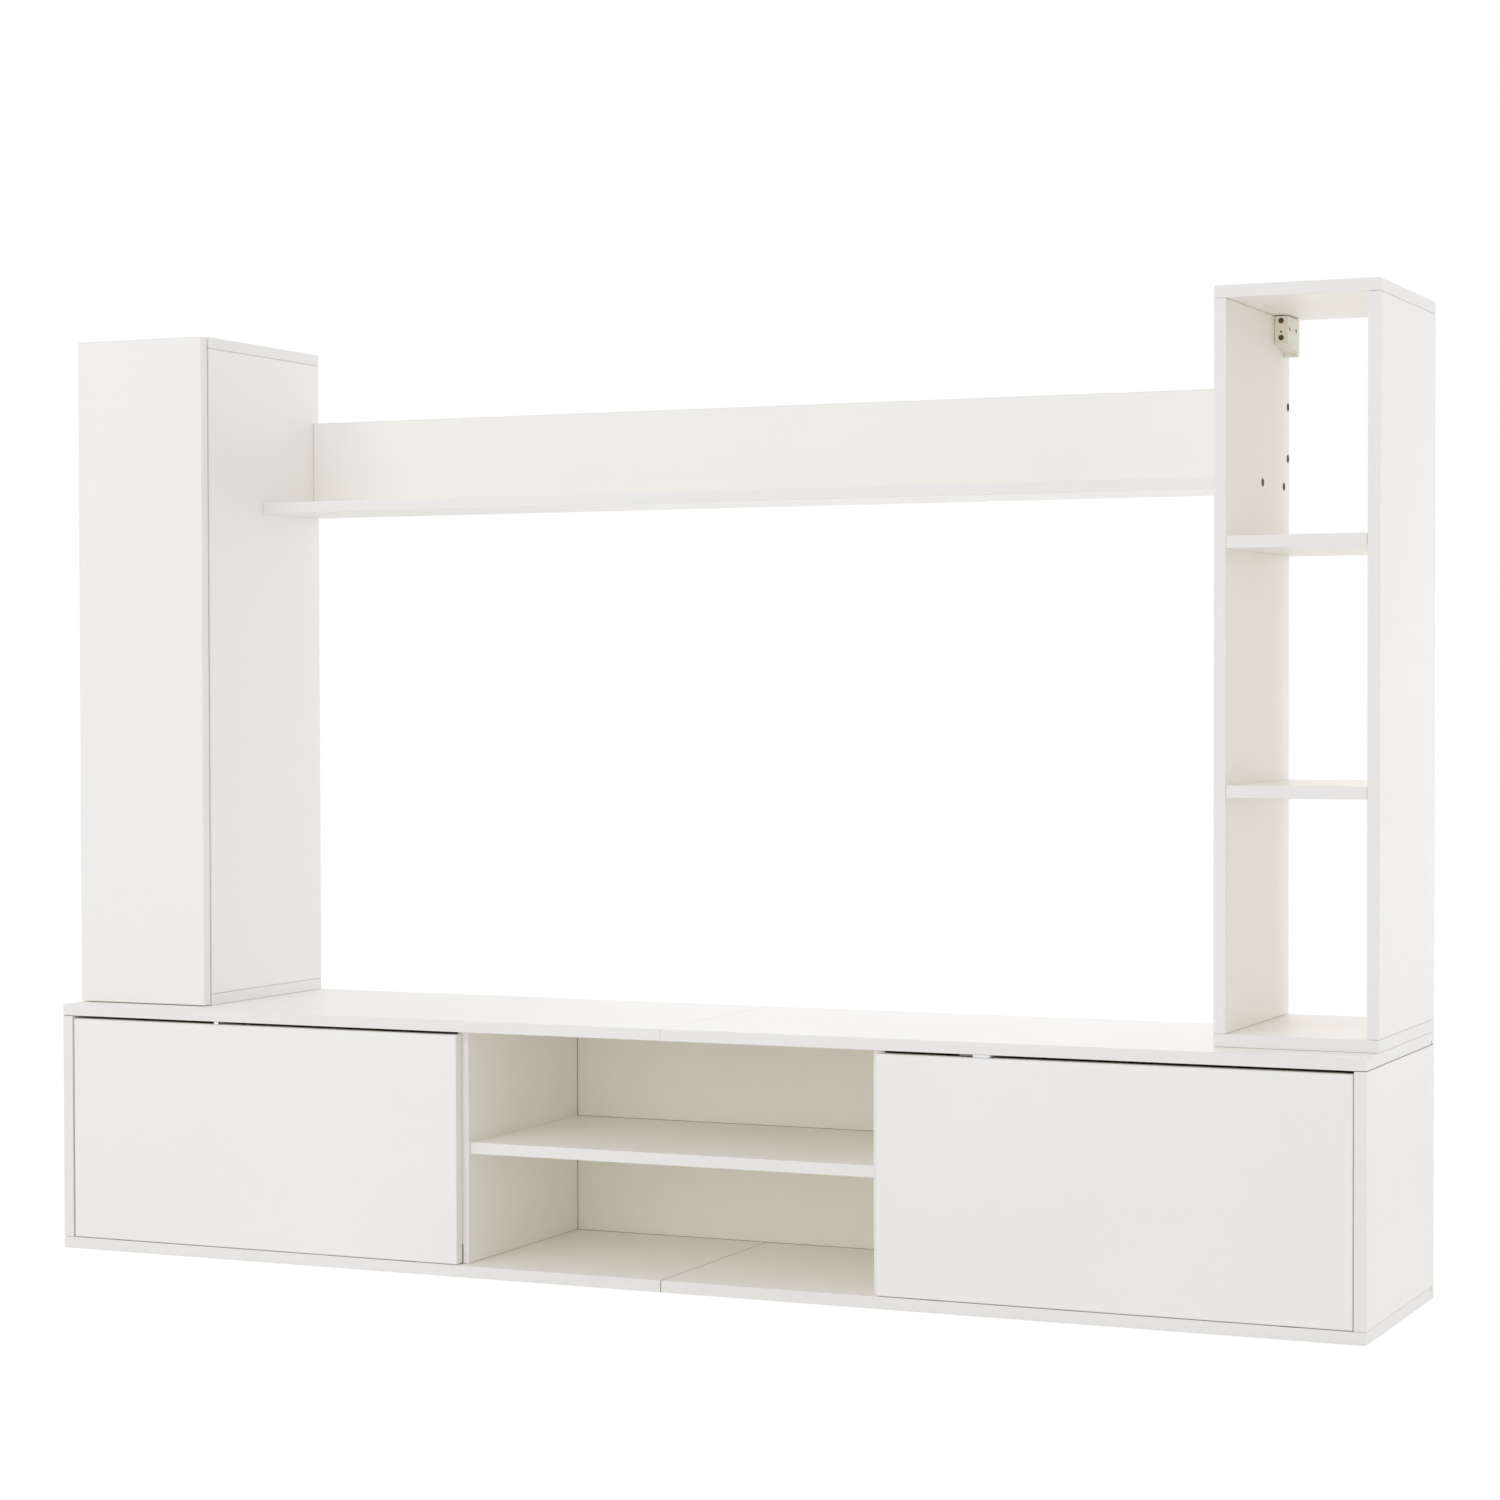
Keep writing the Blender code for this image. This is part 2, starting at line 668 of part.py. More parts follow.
def bolt_holes(panel, face_x):
    """Holes through a tower's side for the four bolts that hold one end of the bridge."""
    back_y = REAR - BOARD / 2
    back_low = BRIDGE_HIGH + BRIDGE_BOLT_INSET
    back_high = BRIDGE_TOP - BRIDGE_BOLT_INSET
    shelf_z = (BRIDGE_LOW + BRIDGE_HIGH) / 2
    shelf_front = REAR - BRIDGE_DEPTH + BRIDGE_BOLT_INSET
    shelf_rear = REAR - BRIDGE_BOLT_INSET
    places = [(back_y, back_low), (back_y, back_high)]
    places += [(shelf_front, shelf_z), (shelf_rear, shelf_z)]
    length = BOARD + 2 * OVERRUN
    for number, (y, z) in enumerate(places):
        hole = f"{panel.name}_bolt_hole_{number}"
        cut(panel, rod_cutter(hole, (face_x, y, z), BRIDGE_BOLT_RADIUS, length, "x"))


def bridge():
    """The shelf between the towers and the upright board at its rear."""
    reach = TOWER_INSIDE - SEAT
    board("bridge_shelf", (-reach, REAR - BRIDGE_DEPTH, BRIDGE_LOW), (reach, REAR, BRIDGE_HIGH))
    board(
        "bridge_back",
        (-reach, REAR - BOARD, BRIDGE_HIGH + SEAT),
        (reach, REAR, BRIDGE_TOP),
    )


def door_arm(name, place):
    """The fixed half of a door hinge: a bent arm round the side's edge, on a plate."""
    eye = DOOR_EYE_RADIUS
    face = -HALF_WIDTH + BOARD + SEAT - place[0]
    outer = face + DOOR_ARM_THICKNESS
    bend = DOOR_ARM_BEND
    points = arc(eye, 90, 270)
    points += [(outer - bend, -eye), (outer, bend - eye), (outer, DOOR_ARM_LENGTH)]
    points += [(face, DOOR_ARM_LENGTH), (face, eye)]
    mesh = outline_mesh(name, points, DOOR_ARM_WIDTH, OUTLINE_XY)
    arm = add(name, mesh, place, steel())
    centre = Vector(place)
    plate = block_cutter(
        name + "_plate",
        centre + Vector((face - SEAT / 2, DOOR_ARM_LENGTH - PLATE_LENGTH, -PLATE_HEIGHT / 2)),
        centre + Vector((face + PLATE_THICKNESS, DOOR_ARM_LENGTH - SEAT, PLATE_HEIGHT / 2)),
    )
    join(arm, plate)
    for side in (-1, 1):
        drop = side * (PLATE_HEIGHT / 2 - SCREW_HOLE_EDGE)
        where = centre + Vector((face, DOOR_ARM_LENGTH - PLATE_LENGTH / 2, drop))
        cut(arm, rod_cutter(f"{name}_screw_{side}", where, SCREW_HOLE_RADIUS, OVERRUN, "x"))
    bore = DOOR_PIN_RADIUS + PIN_PLAY
    cut(arm, rod_cutter(name + "_eye", place, bore, DOOR_ARM_WIDTH + OVERRUN, "z"))
    return arm


def cup_outline(radius, left, half):
    """A round cup about its centre, with a neck as high as two halves that reaches left."""
    side = 180 - math.degrees(math.asin(half / radius))
    return [*arc(radius, -side, side, CUP_STEPS), (left, half), (left, -half)]


def flange_outline():
    """The flange round a cup's rim, with a rounded wing above and below for the screws."""
    radius = CUP_RADIUS + FLANGE_RIM
    near, far = WING_SHIFT - WING_LENGTH / 2, WING_SHIFT + WING_LENGTH / 2
    near_angle = math.degrees(math.acos(near / radius))
    far_angle = math.degrees(math.acos(far / radius))
    high = WING_HEIGHT / 2 - WING_ROUND
    inner, outer = near + WING_ROUND, far - WING_ROUND
    points = arc(radius, -far_angle, far_angle)
    points += arc(WING_ROUND, 0, 90, centre=(outer, high))
    points += arc(WING_ROUND, 90, 180, centre=(inner, high))
    points += arc(radius, near_angle, 360 - near_angle, 2 * ARC_STEPS)
    points += arc(WING_ROUND, 180, 270, centre=(inner, -high))
    points += arc(WING_ROUND, 270, 360, centre=(outer, -high))
    return points


def cup_layer(name, outline, place, front, rear):
    """A mesh from a cup's outline between two depths behind the pivot, and its middle."""
    mesh = outline_mesh(name, outline, rear - front, OUTLINE_XZ)
    return mesh, Vector(place) + Vector((CUP_INSET - DOOR_PIVOT_INSET, (front + rear) / 2, 0))


def cup_sizes():
    """A hinge cup's neck end from its centre, half height, front face and mounting face."""
    neck = -(CUP_INSET - DOOR_PIVOT_INSET + DOOR_EYE_RADIUS)
    half = DOOR_ARM_WIDTH / 2 + HINGE_PLAY + CUP_CHEEK
    front = -DOOR_EYE_RADIUS - CUP_FLOOR_CLEARANCE - CUP_WALL
    seat = BOARD - DOOR_PIVOT_DEPTH + SEAT
    return neck, half, front, seat


def door_cup(name, place, carrier):
    """The moving half of a door hinge: a round cup let into the door, its flange and the pin."""
    neck, half, front, seat = cup_sizes()
    rear = seat + FLANGE_THICKNESS / 2
    outline = cup_outline(CUP_RADIUS, neck, half)
    mesh, middle_place = cup_layer(name, outline, place, front, rear)
    cup = add(name, mesh, middle_place, steel(), carrier)
    flange_name = name + "_flange"
    flange = cup_layer(flange_name, flange_outline(), place, seat, seat + FLANGE_THICKNESS)
    join(cup, add_cutter(flange_name, *flange, carrier))
    hollow_name = name + "_hollow"
    outline = cup_outline(CUP_RADIUS - CUP_WALL, neck - OVERRUN, half - CUP_CHEEK)
    hollow = cup_layer(hollow_name, outline, place, front + CUP_WALL, seat + OVERRUN)
    cut(cup, add_cutter(hollow_name, *hollow, carrier))
    pin_length = 2 * half - SEAT
    join(cup, rod_cutter(name + "_pin", place, DOOR_PIN_RADIUS, pin_length, "z", carrier))
    screw_x = CUP_INSET - DOOR_PIVOT_INSET + WING_SHIFT
    for side in (-1, 1):
        drop = side * (WING_HEIGHT / 2 - SCREW_HOLE_EDGE)
        where = Vector(place) + Vector((screw_x, seat, drop))
        hole = rod_cutter(f"{name}_screw_{side}", where, SCREW_HOLE_RADIUS, OVERRUN, "y", carrier)
        cut(cup, hole)
    return cup


def door_pocket(door, place, carrier):
    """Cuts the round pocket with a neck that a hinge cup sits in, open behind."""
    neck, half, front, _ = cup_sizes()
    name = f"{door.name}_pocket_{place[2]:.3f}"
    outline = cup_outline(CUP_RADIUS + SEAT, neck - HINGE_PLAY, half + SEAT)
    cut(door, add_cutter(name, *cup_layer(name, outline, place, front - SEAT, BOARD), carrier))


def tower_door():
    """The door of the closed tower, hung on its left side."""
    axis = pivot("tower_door_pivot", (DOOR_PIVOT_X, DOOR_PIVOT_Y, (DOOR_LOW + DOOR_HIGH) / 2))
    door = board(
        "tower_door",
        (DOOR_LEFT, DOOR_FRONT, DOOR_LOW),
        (DOOR_RIGHT, DOOR_REAR, DOOR_HIGH),
        carrier=axis,
    )
    for level, z in (
        ("lower", DOOR_LOW + DOOR_HINGE_INSET),
        ("upper", DOOR_HIGH - DOOR_HINGE_INSET),
    ):
        place = (DOOR_PIVOT_X, DOOR_PIVOT_Y, z)
        door_pocket(door, place, axis)
        door_arm(f"door_hinge_arm_{level}", place)
        door_cup(f"door_hinge_cup_{level}", place, axis)


def latch_body(name, x, body_front, axis_z, ceiling):
    """The round housing of a push latch and the flange that screws to the board over it."""
    body_rear = body_front + LATCH_BODY_LENGTH
    mesh = rod_mesh(name, LATCH_BODY_RADIUS, LATCH_BODY_LENGTH, "y")
    body = add(name, mesh, (x, (body_front + body_rear) / 2, axis_z), plastic())
    flange = block_cutter(
        f"{name}_flange",
        (x - LATCH_FLANGE_WIDTH / 2, body_rear - LATCH_FLANGE_LENGTH, ceiling - LATCH_FLANGE_DEPTH),
        (x + LATCH_FLANGE_WIDTH / 2, body_rear - LATCH_SINK, ceiling - SEAT),
    )
    join(body, flange)
    return body


def latch_bore(body, x, tip, axis_z):
    """Cuts the blind bore that the plunger slides in."""
    front = tip + LATCH_TIP_LENGTH - OVERRUN
    rear = tip + LATCH_TIP_LENGTH + LATCH_ROD_LENGTH + LATCH_TRAVEL + SEAT
    place = (x, (front + rear) / 2, axis_z)
    radius = LATCH_ROD_RADIUS + LATCH_BORE_PLAY
    cut(body, rod_cutter(f"{body.name}_bore", place, radius, rear - front, "y"))


def plunger(name, x, tip, axis_z):
    """A latch's sprung plunger: a rod with a wider, soft tip."""
    shoulder = -LATCH_TIP_LENGTH
    end = shoulder - LATCH_ROD_LENGTH
    profile = [
        (0, 0),
        (LATCH_TIP_RADIUS - LATCH_TIP_ROUND, 0),
        (LATCH_TIP_RADIUS, -LATCH_TIP_ROUND),
        (LATCH_TIP_RADIUS, shoulder),
        (LATCH_ROD_RADIUS, shoulder),
        (LATCH_ROD_RADIUS, end),
        (0, end),
    ]
    turned(name, profile, (x, tip, axis_z), "y", rubber())


def tongue(body, number, low_x, high_x, setback, rear):
    """A latch's thin tongue in the slot over a drop front, which sets its place when it is fitted."""
    top = BASE_CEILING - 2 * SEAT
    shape = block_cutter(
        f"{body.name}_tongue_{number}",
        (low_x, FRONT + setback, top - TONGUE_THICKNESS),
        (high_x, rear + TONGUE_ROOT, top),
    )
    join(body, shape)


def latch(name, x, panel_rear, ceiling, adapter=0):
    """A push latch under a board, on an adapter if it has one: (body, where its holder starts)."""
    tip = panel_rear + SEAT
    axis_z = ceiling - LATCH_DROP
    front = tip + LATCH_TIP_LENGTH + LATCH_TRAVEL + SEAT
    rear = front + LATCH_BODY_LENGTH
    body = latch_body(f"{name}_body", x, front, axis_z, ceiling)
    if adapter:
        holder = block_cutter(
            f"{name}_adapter",
            (x - adapter / 2, front, axis_z - LATCH_ADAPTER_RISE),
            (x + adapter / 2, rear + LATCH_SINK, ceiling - SEAT),
        )
        join(body, holder)
    latch_bore(body, x, tip, axis_z)
    plunger(f"{name}_plunger", x, tip, axis_z)
    return body, front if adapter else rear - LATCH_FLANGE_LENGTH


def flap_latches():
    """The drop fronts' latches: a slim one on the left, one on a wide adapter on the right."""
    x = (FLAP_LEFT_OUTER - FLAP_INNER) * FLAP_LEFT_LATCH_SHARE - FLAP_LEFT_OUTER
    body, holder = latch("flap_left_latch", x, FRONT + BOARD, BASE_CEILING)
    tongue(body, 1, x - TONGUE_WIDTH / 2, x + TONGUE_WIDTH / 2, TONGUE_SETBACK, holder)
    x = FLAP_RIGHT_OUTER - (FLAP_RIGHT_OUTER - FLAP_INNER) * FLAP_RIGHT_LATCH_SHARE
    width = STEP_TONGUE_WIDTH + TONGUE_GAP + WIDE_TONGUE_WIDTH
    body, holder = latch("flap_right_latch", x, FRONT + BOARD, BASE_CEILING, width)
    low, high = x - width / 2 + SEAT, x + width / 2 - SEAT
    tongue(body, 1, low, low + STEP_TONGUE_WIDTH - SEAT, STEP_TONGUE_SETBACK, holder)
    tongue(body, 2, high - WIDE_TONGUE_WIDTH + SEAT, high, TONGUE_SETBACK, holder)


def door_latch():
    """The tower door's latch, under the tower's cap."""
    latch("door_latch", -TOWER_INSIDE - DOOR_LATCH_PLACE, DOOR_REAR, TOWER_CEILING)


def hanger(name, face_x, side):
    """A cabinet hanger in an upper rear corner: a case on the tower's side, and its steel hook."""
    x = face_x + side * (SEAT + HANGER_WIDTH / 2)
    front = REAR - HANGER_REAR - HANGER_LENGTH
    high = TOWER_CEILING - HANGER_TOP_GAP
    heel = HANGER_LENGTH - HANGER_HEEL_LENGTH
    points = [
        (0, 0),
        (0, -HANGER_HEIGHT),
        (HANGER_BELLY_START, -HANGER_HEIGHT),
        (heel - HANGER_HEEL_SLOPE, -HANGER_BELLY_HEIGHT),
        (heel, -HANGER_HEEL_HEIGHT),
        (HANGER_LENGTH, -HANGER_HEEL_HEIGHT),
        (HANGER_LENGTH, 0),
    ]
    place = Vector((x, front, high))
    mesh = outline_mesh(f"{name}_case", points, HANGER_WIDTH, OUTLINE_YZ)
    case = add(f"{name}_case", mesh, place, plastic())
    round_edges(case)
    slot_half = HOOK_WIDTH / 2 + HOOK_SLOT_PLAY
    block_front = HANGER_LENGTH - HOOK_BLOCK_LENGTH
    slot = block_cutter(
        f"{name}_slot",
        place + Vector((-slot_half, block_front - SEAT, -HOOK_DROP - HOOK_BLOCK_HEIGHT - SEAT)),
        place + Vector((slot_half, HANGER_LENGTH + OVERRUN, SEAT - HOOK_DROP)),
    )
    cut(case, slot)
    depth = 2 * HANGER_SCREW_DEPTH
    holes = [(drop, HANGER_SCREW_RADIUS) for drop in HANGER_SCREW_DROPS]
    holes.append((HANGER_PIN_HOLE_DROP, HANGER_PIN_HOLE_RADIUS))
    for drop, radius in holes:
        where = place + Vector((0, 0, -drop))
        cut(case, rod_cutter(f"{name}_screw_{drop}", where, radius, depth, "y"))
    for along in HANGER_SIDE_HOLE_PLACES:
        where = place + Vector((side * HANGER_WIDTH / 2, along, -HANGER_SIDE_HOLE_DROP))
        hole = rod_cutter(f"{name}_side_{along}", where, HANGER_SIDE_HOLE_RADIUS, depth, "x")
        cut(case, hole)
    hook_outline = [
        (0, 0),
        (0, -HOOK_BLOCK_HEIGHT),
        (HOOK_BLOCK_LENGTH, -HOOK_BLOCK_HEIGHT),
        (HOOK_BLOCK_LENGTH, -HOOK_THICKNESS),
        (HOOK_BLOCK_LENGTH + HOOK_REACH - HOOK_THICKNESS, -HOOK_THICKNESS),
        (HOOK_BLOCK_LENGTH + HOOK_REACH - HOOK_THICKNESS, -HOOK_LIP),
        (HOOK_BLOCK_LENGTH + HOOK_REACH, -HOOK_LIP),
        (HOOK_BLOCK_LENGTH + HOOK_REACH, 0),
    ]
    hook_mesh = outline_mesh(f"{name}_hook", hook_outline, HOOK_WIDTH, OUTLINE_YZ)
    add(f"{name}_hook", hook_mesh, place + Vector((0, block_front, -HOOK_DROP)), steel())


def towers():
    """The closed tower on the left, the open one on the right, and what hangs them on a wall."""
    left_face, right_face = -HALF_WIDTH + BOARD, -TOWER_INSIDE - BOARD
    _, inner_side = tower_shell("closed_tower", -HALF_WIDTH, -TOWER_INSIDE, True)
    bolt_holes(inner_side, right_face + BOARD / 2)
    hanger("closed_tower_hanger_left", left_face, 1)
    hanger("closed_tower_hanger_right", right_face, -1)
    open_side, _ = tower_shell("open_tower", TOWER_INSIDE, HALF_WIDTH, False)
    bolt_holes(open_side, TOWER_INSIDE + BOARD / 2)
    hanger("open_tower_hanger_left", TOWER_INSIDE + BOARD, 1)
    hanger("open_tower_hanger_right", HALF_WIDTH - BOARD, -1)


def main():
    clear_scene()
    new_collection(COLLECTION)
    new_collection(CUTTERS)
    base_shell()
    base_inside()
    joining_plates()
    flaps()
    towers()
    tower_door()
    bridge()
    flap_latches()
    door_latch()


main()
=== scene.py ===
"""Finishes, fasteners and the studio for an entertainment centre in white laminated board."""

import json
import math

import bmesh
import bpy
from bpy.props import FloatProperty, FloatVectorProperty, PointerProperty
from mathutils import Matrix, Vector


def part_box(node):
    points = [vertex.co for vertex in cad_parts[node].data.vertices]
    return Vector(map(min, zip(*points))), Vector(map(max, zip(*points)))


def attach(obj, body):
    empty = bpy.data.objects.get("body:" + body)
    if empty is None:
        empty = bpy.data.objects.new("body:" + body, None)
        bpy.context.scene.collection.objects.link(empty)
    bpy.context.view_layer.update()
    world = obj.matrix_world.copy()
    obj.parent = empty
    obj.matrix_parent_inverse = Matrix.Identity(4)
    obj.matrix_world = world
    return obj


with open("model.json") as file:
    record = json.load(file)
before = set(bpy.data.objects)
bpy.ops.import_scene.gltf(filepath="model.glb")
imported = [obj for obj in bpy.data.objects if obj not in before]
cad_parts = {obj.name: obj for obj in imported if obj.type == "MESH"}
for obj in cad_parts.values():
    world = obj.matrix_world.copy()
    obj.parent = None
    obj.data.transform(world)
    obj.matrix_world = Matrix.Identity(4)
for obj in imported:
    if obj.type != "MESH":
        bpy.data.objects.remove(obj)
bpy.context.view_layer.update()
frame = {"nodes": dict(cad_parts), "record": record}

bl_info = {
    "name": "White Entertainment Centre",
    "version": (1, 0, 0),
    "blender": (4, 5, 0),
    "location": "3D View > Sidebar > Wall Unit",
    "description": "Finishes and fasteners for a wall unit in white laminated board",
    "category": "Object",
}

# Where the photograph was taken from, and the camera's sensor and reach
CAMERA_PLACE = (1.86218, -4.08393, 0.75589)
CAMERA_YAW = math.radians(23.954)
CAMERA_TILT = math.radians(88.737)
CAMERA_ROLL = math.radians(-0.116)
CAMERA_SHIFT = 0.01168
SENSOR_WIDTH = 36
SIGHT_END = 100

# The lamps: name, place, what it faces, width and height
LAMPS = (
    ("key", (-1.5, -4.2, 3.0), (0, 0, 0.4), (3.0, 1.6)),
    ("front", (-0.9, -5.0, 1.3), (0, 0, 0.4), (3.0, 1.6)),
    ("side", (7.0, 0.9, 1.1), (0.4, 0, 0.7), (2.4, 2.4)),
    ("top", (0.2, -0.2, 3.8), (0, 0, 0), (3.6, 2.6)),
    ("rear", (0, 3.6, 0.7), (0, 0, 0.7), (4.0, 1.4)),
    ("rear_high", (-0.6, 3.4, 2.4), (0, 0, 0.7), (4.0, 1.6)),
)
LIGHT_BOUNCES = 12

# The floor lies just under the base. The white that the camera sees in it is a little more than
# plain white, so that its mix with the lit floor comes out white.
FLOOR_DROP = 0.0005
FLOOR_WHITE = 1.1

# Boards that meet along a line of painted shade, boards with a lipping, and how near two boards
# touch
SEAM_SHADE_PAIRS = (
    ("base_bottom_left", "base_bottom_right"),
    ("base_side_left", "base_top_left"),
    ("base_side_right", "base_top_right"),
)
LIPPED = ("divider_left", "divider_right")
TOUCHING = 0.0008

# A lipping: how far it stands behind a closed drop front, where its part behind the front ends
# below, how far it reaches into the divider, and how far it stands off the front's side
LIPPING_GAP = 0.001
LIPPING_LOW = 0.040
LIPPING_ROOT = 0.0003
LIPPING_PLAY = 0.0006

# How much the edges of scene.py's own pieces are rounded
PIECE_ROUND = 0.0003

# The latches of the drop fronts, and their white lips in the slots over the fronts, which are
# set from the roof and the front of the top boards
SLIM_LATCH = "flap_left_latch_body"
WIDE_LATCH = "flap_right_latch_body"
LIP_HEIGHT = 0.0033
LIP_PLAY = 0.0003
LIP_SETBACK = 0.0010
LIP_DEPTH = 0.006
SLIM_LIP_WIDTH = 0.0066
WIDE_LIP_WIDTH = 0.0211

# The grey tongue takes this much of the wide latch's width
TONGUE_WIDTH = 0.0188

# Where the fasteners sit, measured from the box of the piece that they hold
BOLT_INSET = 0.026
LOW_BOLT_RISE = 0.028
FOOT_SCREW_INSET = 0.01425
FOOT_SCREW_SPREAD = 0.0105
FOOT_THICKNESS = 0.0025
LEAF_FACE_HEIGHT = 0.0293
LEAF_SCREW_SHARES = (0.35, 0.75)
PLATE_SCREW_INSET = 0.0225
PLATE_SCREW_SPREAD = 0.010
PLATE_THICKNESS = 0.002
CUP_SCREW_INSET = 0.0135
CUP_SCREW_SPREAD = 0.022
LATCH_SCREW_INSET = 0.0105
LATCH_SCREW_EDGE = 0.003
LATCH_THICKNESS = {SLIM_LATCH: 0.0037, WIDE_LATCH: 0.0147, "door_latch_body": 0.0037}
JOINING_SCREW_SHARES = (-0.4, -0.15, 0.15, 0.4)
HANGER_SCREW_DROPS = (0.006, 0.027)
HANGER_SCREW_DEPTH = 0.0028

# Shade is painted in a hanger's holes, which lie above this reach from its top and deeper than its
# skin
HANGER_HOLE_REACH = 0.034
HANGER_SKIN = 0.0006

# Which way a screw's head faces
LEFT, RIGHT = (-1, 0, 0), (1, 0, 0)
FRONTWARD, REARWARD = (0, -1, 0), (0, 1, 0)
DOWN, UP = (0, 0, -1), (0, 0, 1)

# How far each kind of screw is turned: a start in degrees, and how many more for each metre,
# share or number that gives the screw's place in its row
TURNS = {
    "right bolt": (20, 31),
    "left bolt": (55, 23),
    "foot": (30, 900),
    "leaf": (0, 70),
    "plate": (40, 1300),
    "cup": (25, 700),
    "latch": (50, 2600),
    "joining": (0, 200),
    "hanger": (28, 95),
}

# A fastener's measures, where its operator doesn't give its own
FASTENER = {
    "Head radius": 0.003,
    "Head height": 0.0016,
    "Shank radius": 0.0015,
    "Shank length": 0.01,
    "Cut width": 0.0009,
    "Cut length": 0.0036,
    "Cross cut length": 0.0036,
    "Cut depth": 0.0009,
    "Dome": 0.5,
}
HEAD_SIDES = 28
HEAD_RINGS = 4
SHANK_SIDES = 14

# The head's upper face, above this share of its height, falls to the rim by this power
UPPER_SHARE = 0.4
DOME_POWER = 3.0

# A cross cut's second bar is this much finer, so that no two faces of the cuts coincide, and
# points nearer than this become one
CROSS_CUT_SHARE = 0.96
MERGED = 0.000002

# Most values of a noise lie between these
NOISE_SPAN = (0.3, 0.7)

# Laminate: the banding's colour sets in between these shares of its thickness. The glue line is
# full within this share of its width, and this strong. A seam's painted shade ends at so many
# reaches.
BAND_FADE = (0.5, 0.7)
LINE_CORE = 0.3
LINE_STRENGTH = 0.5
SEAM_FADE = 1.7

# Its broad patches, its roughness and gloss, its waves, and its relief: the waves, the grain and
# the sunk glue line as shares of the relief's depth
LAMINATE_PATCH = 0.35
LAMINATE_TINT = (0.985, 0.981, 0.972)
LAMINATE_ROUGHNESS = (0.42, 0.52)
LAMINATE_GLOSS = 0.35
WAVE = 0.03
WAVE_RELIEF = 0.4
GRAIN_RELIEF = 0.12
LINE_RELIEF = 0.25
LAMINATE_RELIEF = 0.0001

# Backs: where the lacquer thins out and where it ends, its patches, the dark of the fibre, the
# roughness of lacquer and of fibre, and how much of the fibre's relief shows through lacquer
LACQUER = (0.0002, 0.0003)
LACQUER_PATCH = 0.25
LACQUER_SHADE = 0.985
FIBRE_SHADE = 0.62
BACK_ROUGHNESS = (0.45, 0.9)
BACK_GLOSS = 0.3
LACQUERED_RELIEF = 0.12
FIBRE_RELIEF = 0.0003

# Metal: its patches, its drawing marks, and how far these change its roughness
METAL_PATCH = 0.006
METAL_MARK = 0.0009
METAL_SWING = (-0.05, 0.08)
METAL_RELIEF = 0.00002

# Plastic, in the same way
PLASTIC_PATCH = 0.012
PLASTIC_SHADE = 0.965
PLASTIC_MARK = 0.0005
PLASTIC_SWING = (-0.04, 0.06)
PLASTIC_RELIEF = 0.00003
LATCH_ROUGHNESS = 0.38
CASE_ROUGHNESS = 0.42
TIP_ROUGHNESS = 0.7


def colour_setting(name, description, default):
    return FloatVectorProperty(
        name=name, description=description, default=default, subtype="COLOR", min=0, max=1
    )


def length_setting(name, description, default):
    return FloatProperty(
        name=name, description=description, default=default, subtype="DISTANCE", unit="LENGTH"
    )


def power_setting(name, description, default):
    return FloatProperty(
        name=name, description=description, default=default, subtype="POWER", unit="POWER", min=0
    )


class RoomSettings(bpy.types.PropertyGroup):
    """The camera, the lamps and the floor."""

    lens: FloatProperty(
        name="Lens",
        description="Focal length of the camera on a 36 mm sensor",
        default=82.9,
        subtype="DISTANCE_CAMERA",
        unit="CAMERA",
    )
    sky: FloatProperty(
        name="Sky strength", description="Light from all round", default=0.705, min=0
    )
    key: power_setting("Key lamp", "Soft lamp high in front, on the left", 31)
    front: power_setting("Front lamp", "Soft lamp low in front, on the left", 17.8)
    side: power_setting("Side lamp", "Soft lamp on the right", 63)
    top: power_setting("Top lamp", "Soft lamp overhead", 8.5)
    rear: power_setting("Rear lamp", "Soft lamp low behind", 15.4)
    rear_high: power_setting("High rear lamp", "Soft lamp high behind", 14.4)
    floor_size: length_setting("Floor size", "Side of the square floor", 40)
    floor_colour: colour_setting("Floor colour", "Pale studio floor", (0.93, 0.93, 0.93))
    light_colour: colour_setting("Light colour", "Tint of the sky and the lamps", (0.95, 0.957, 1.0))
    floor_glow: FloatProperty(
        name="Floor whiteness",
        description="Share of plain white that the camera sees in the floor",
        default=0.78,
        subtype="FACTOR",
        min=0,
        max=1,
    )


class BoardSettings(bpy.types.PropertyGroup):
    """White laminated board with banded edges."""

    face_colour: colour_setting("Face colour", "Laminate on the broad faces", (0.957, 0.938, 0.886))
    edge_colour: colour_setting("Edge colour", "Banding on the edges", (0.915, 0.898, 0.852))
    line_colour: colour_setting("Glue line colour", "Line beside the banding", (0.60, 0.56, 0.49))
    band: length_setting("Band thickness", "Thickness of the edge banding", 0.001)
    line: length_setting("Glue line width", "Width of the line beside the banding", 0.00015)
    seam_shade_colour: colour_setting("Seam colour", "Shadow where boards meet", (0.40, 0.365, 0.305))
    seam: length_setting("Seam reach", "How far a seam's shadow reaches on a board", 0.0005)
    grain: length_setting("Grain size", "Size of the laminate's fine texture", 0.0011)


class BackSettings(bpy.types.PropertyGroup):
    """Thin hardboard backs, white inside."""

    face_colour: colour_setting("Face colour", "White lacquer inside", (0.955, 0.938, 0.882))
    fibre_colour: colour_setting("Fibre colour", "Bare fibre behind", (0.34, 0.21, 0.115))
    fibre: length_setting("Fibre size", "Size of the pressed fibres", 0.0016)


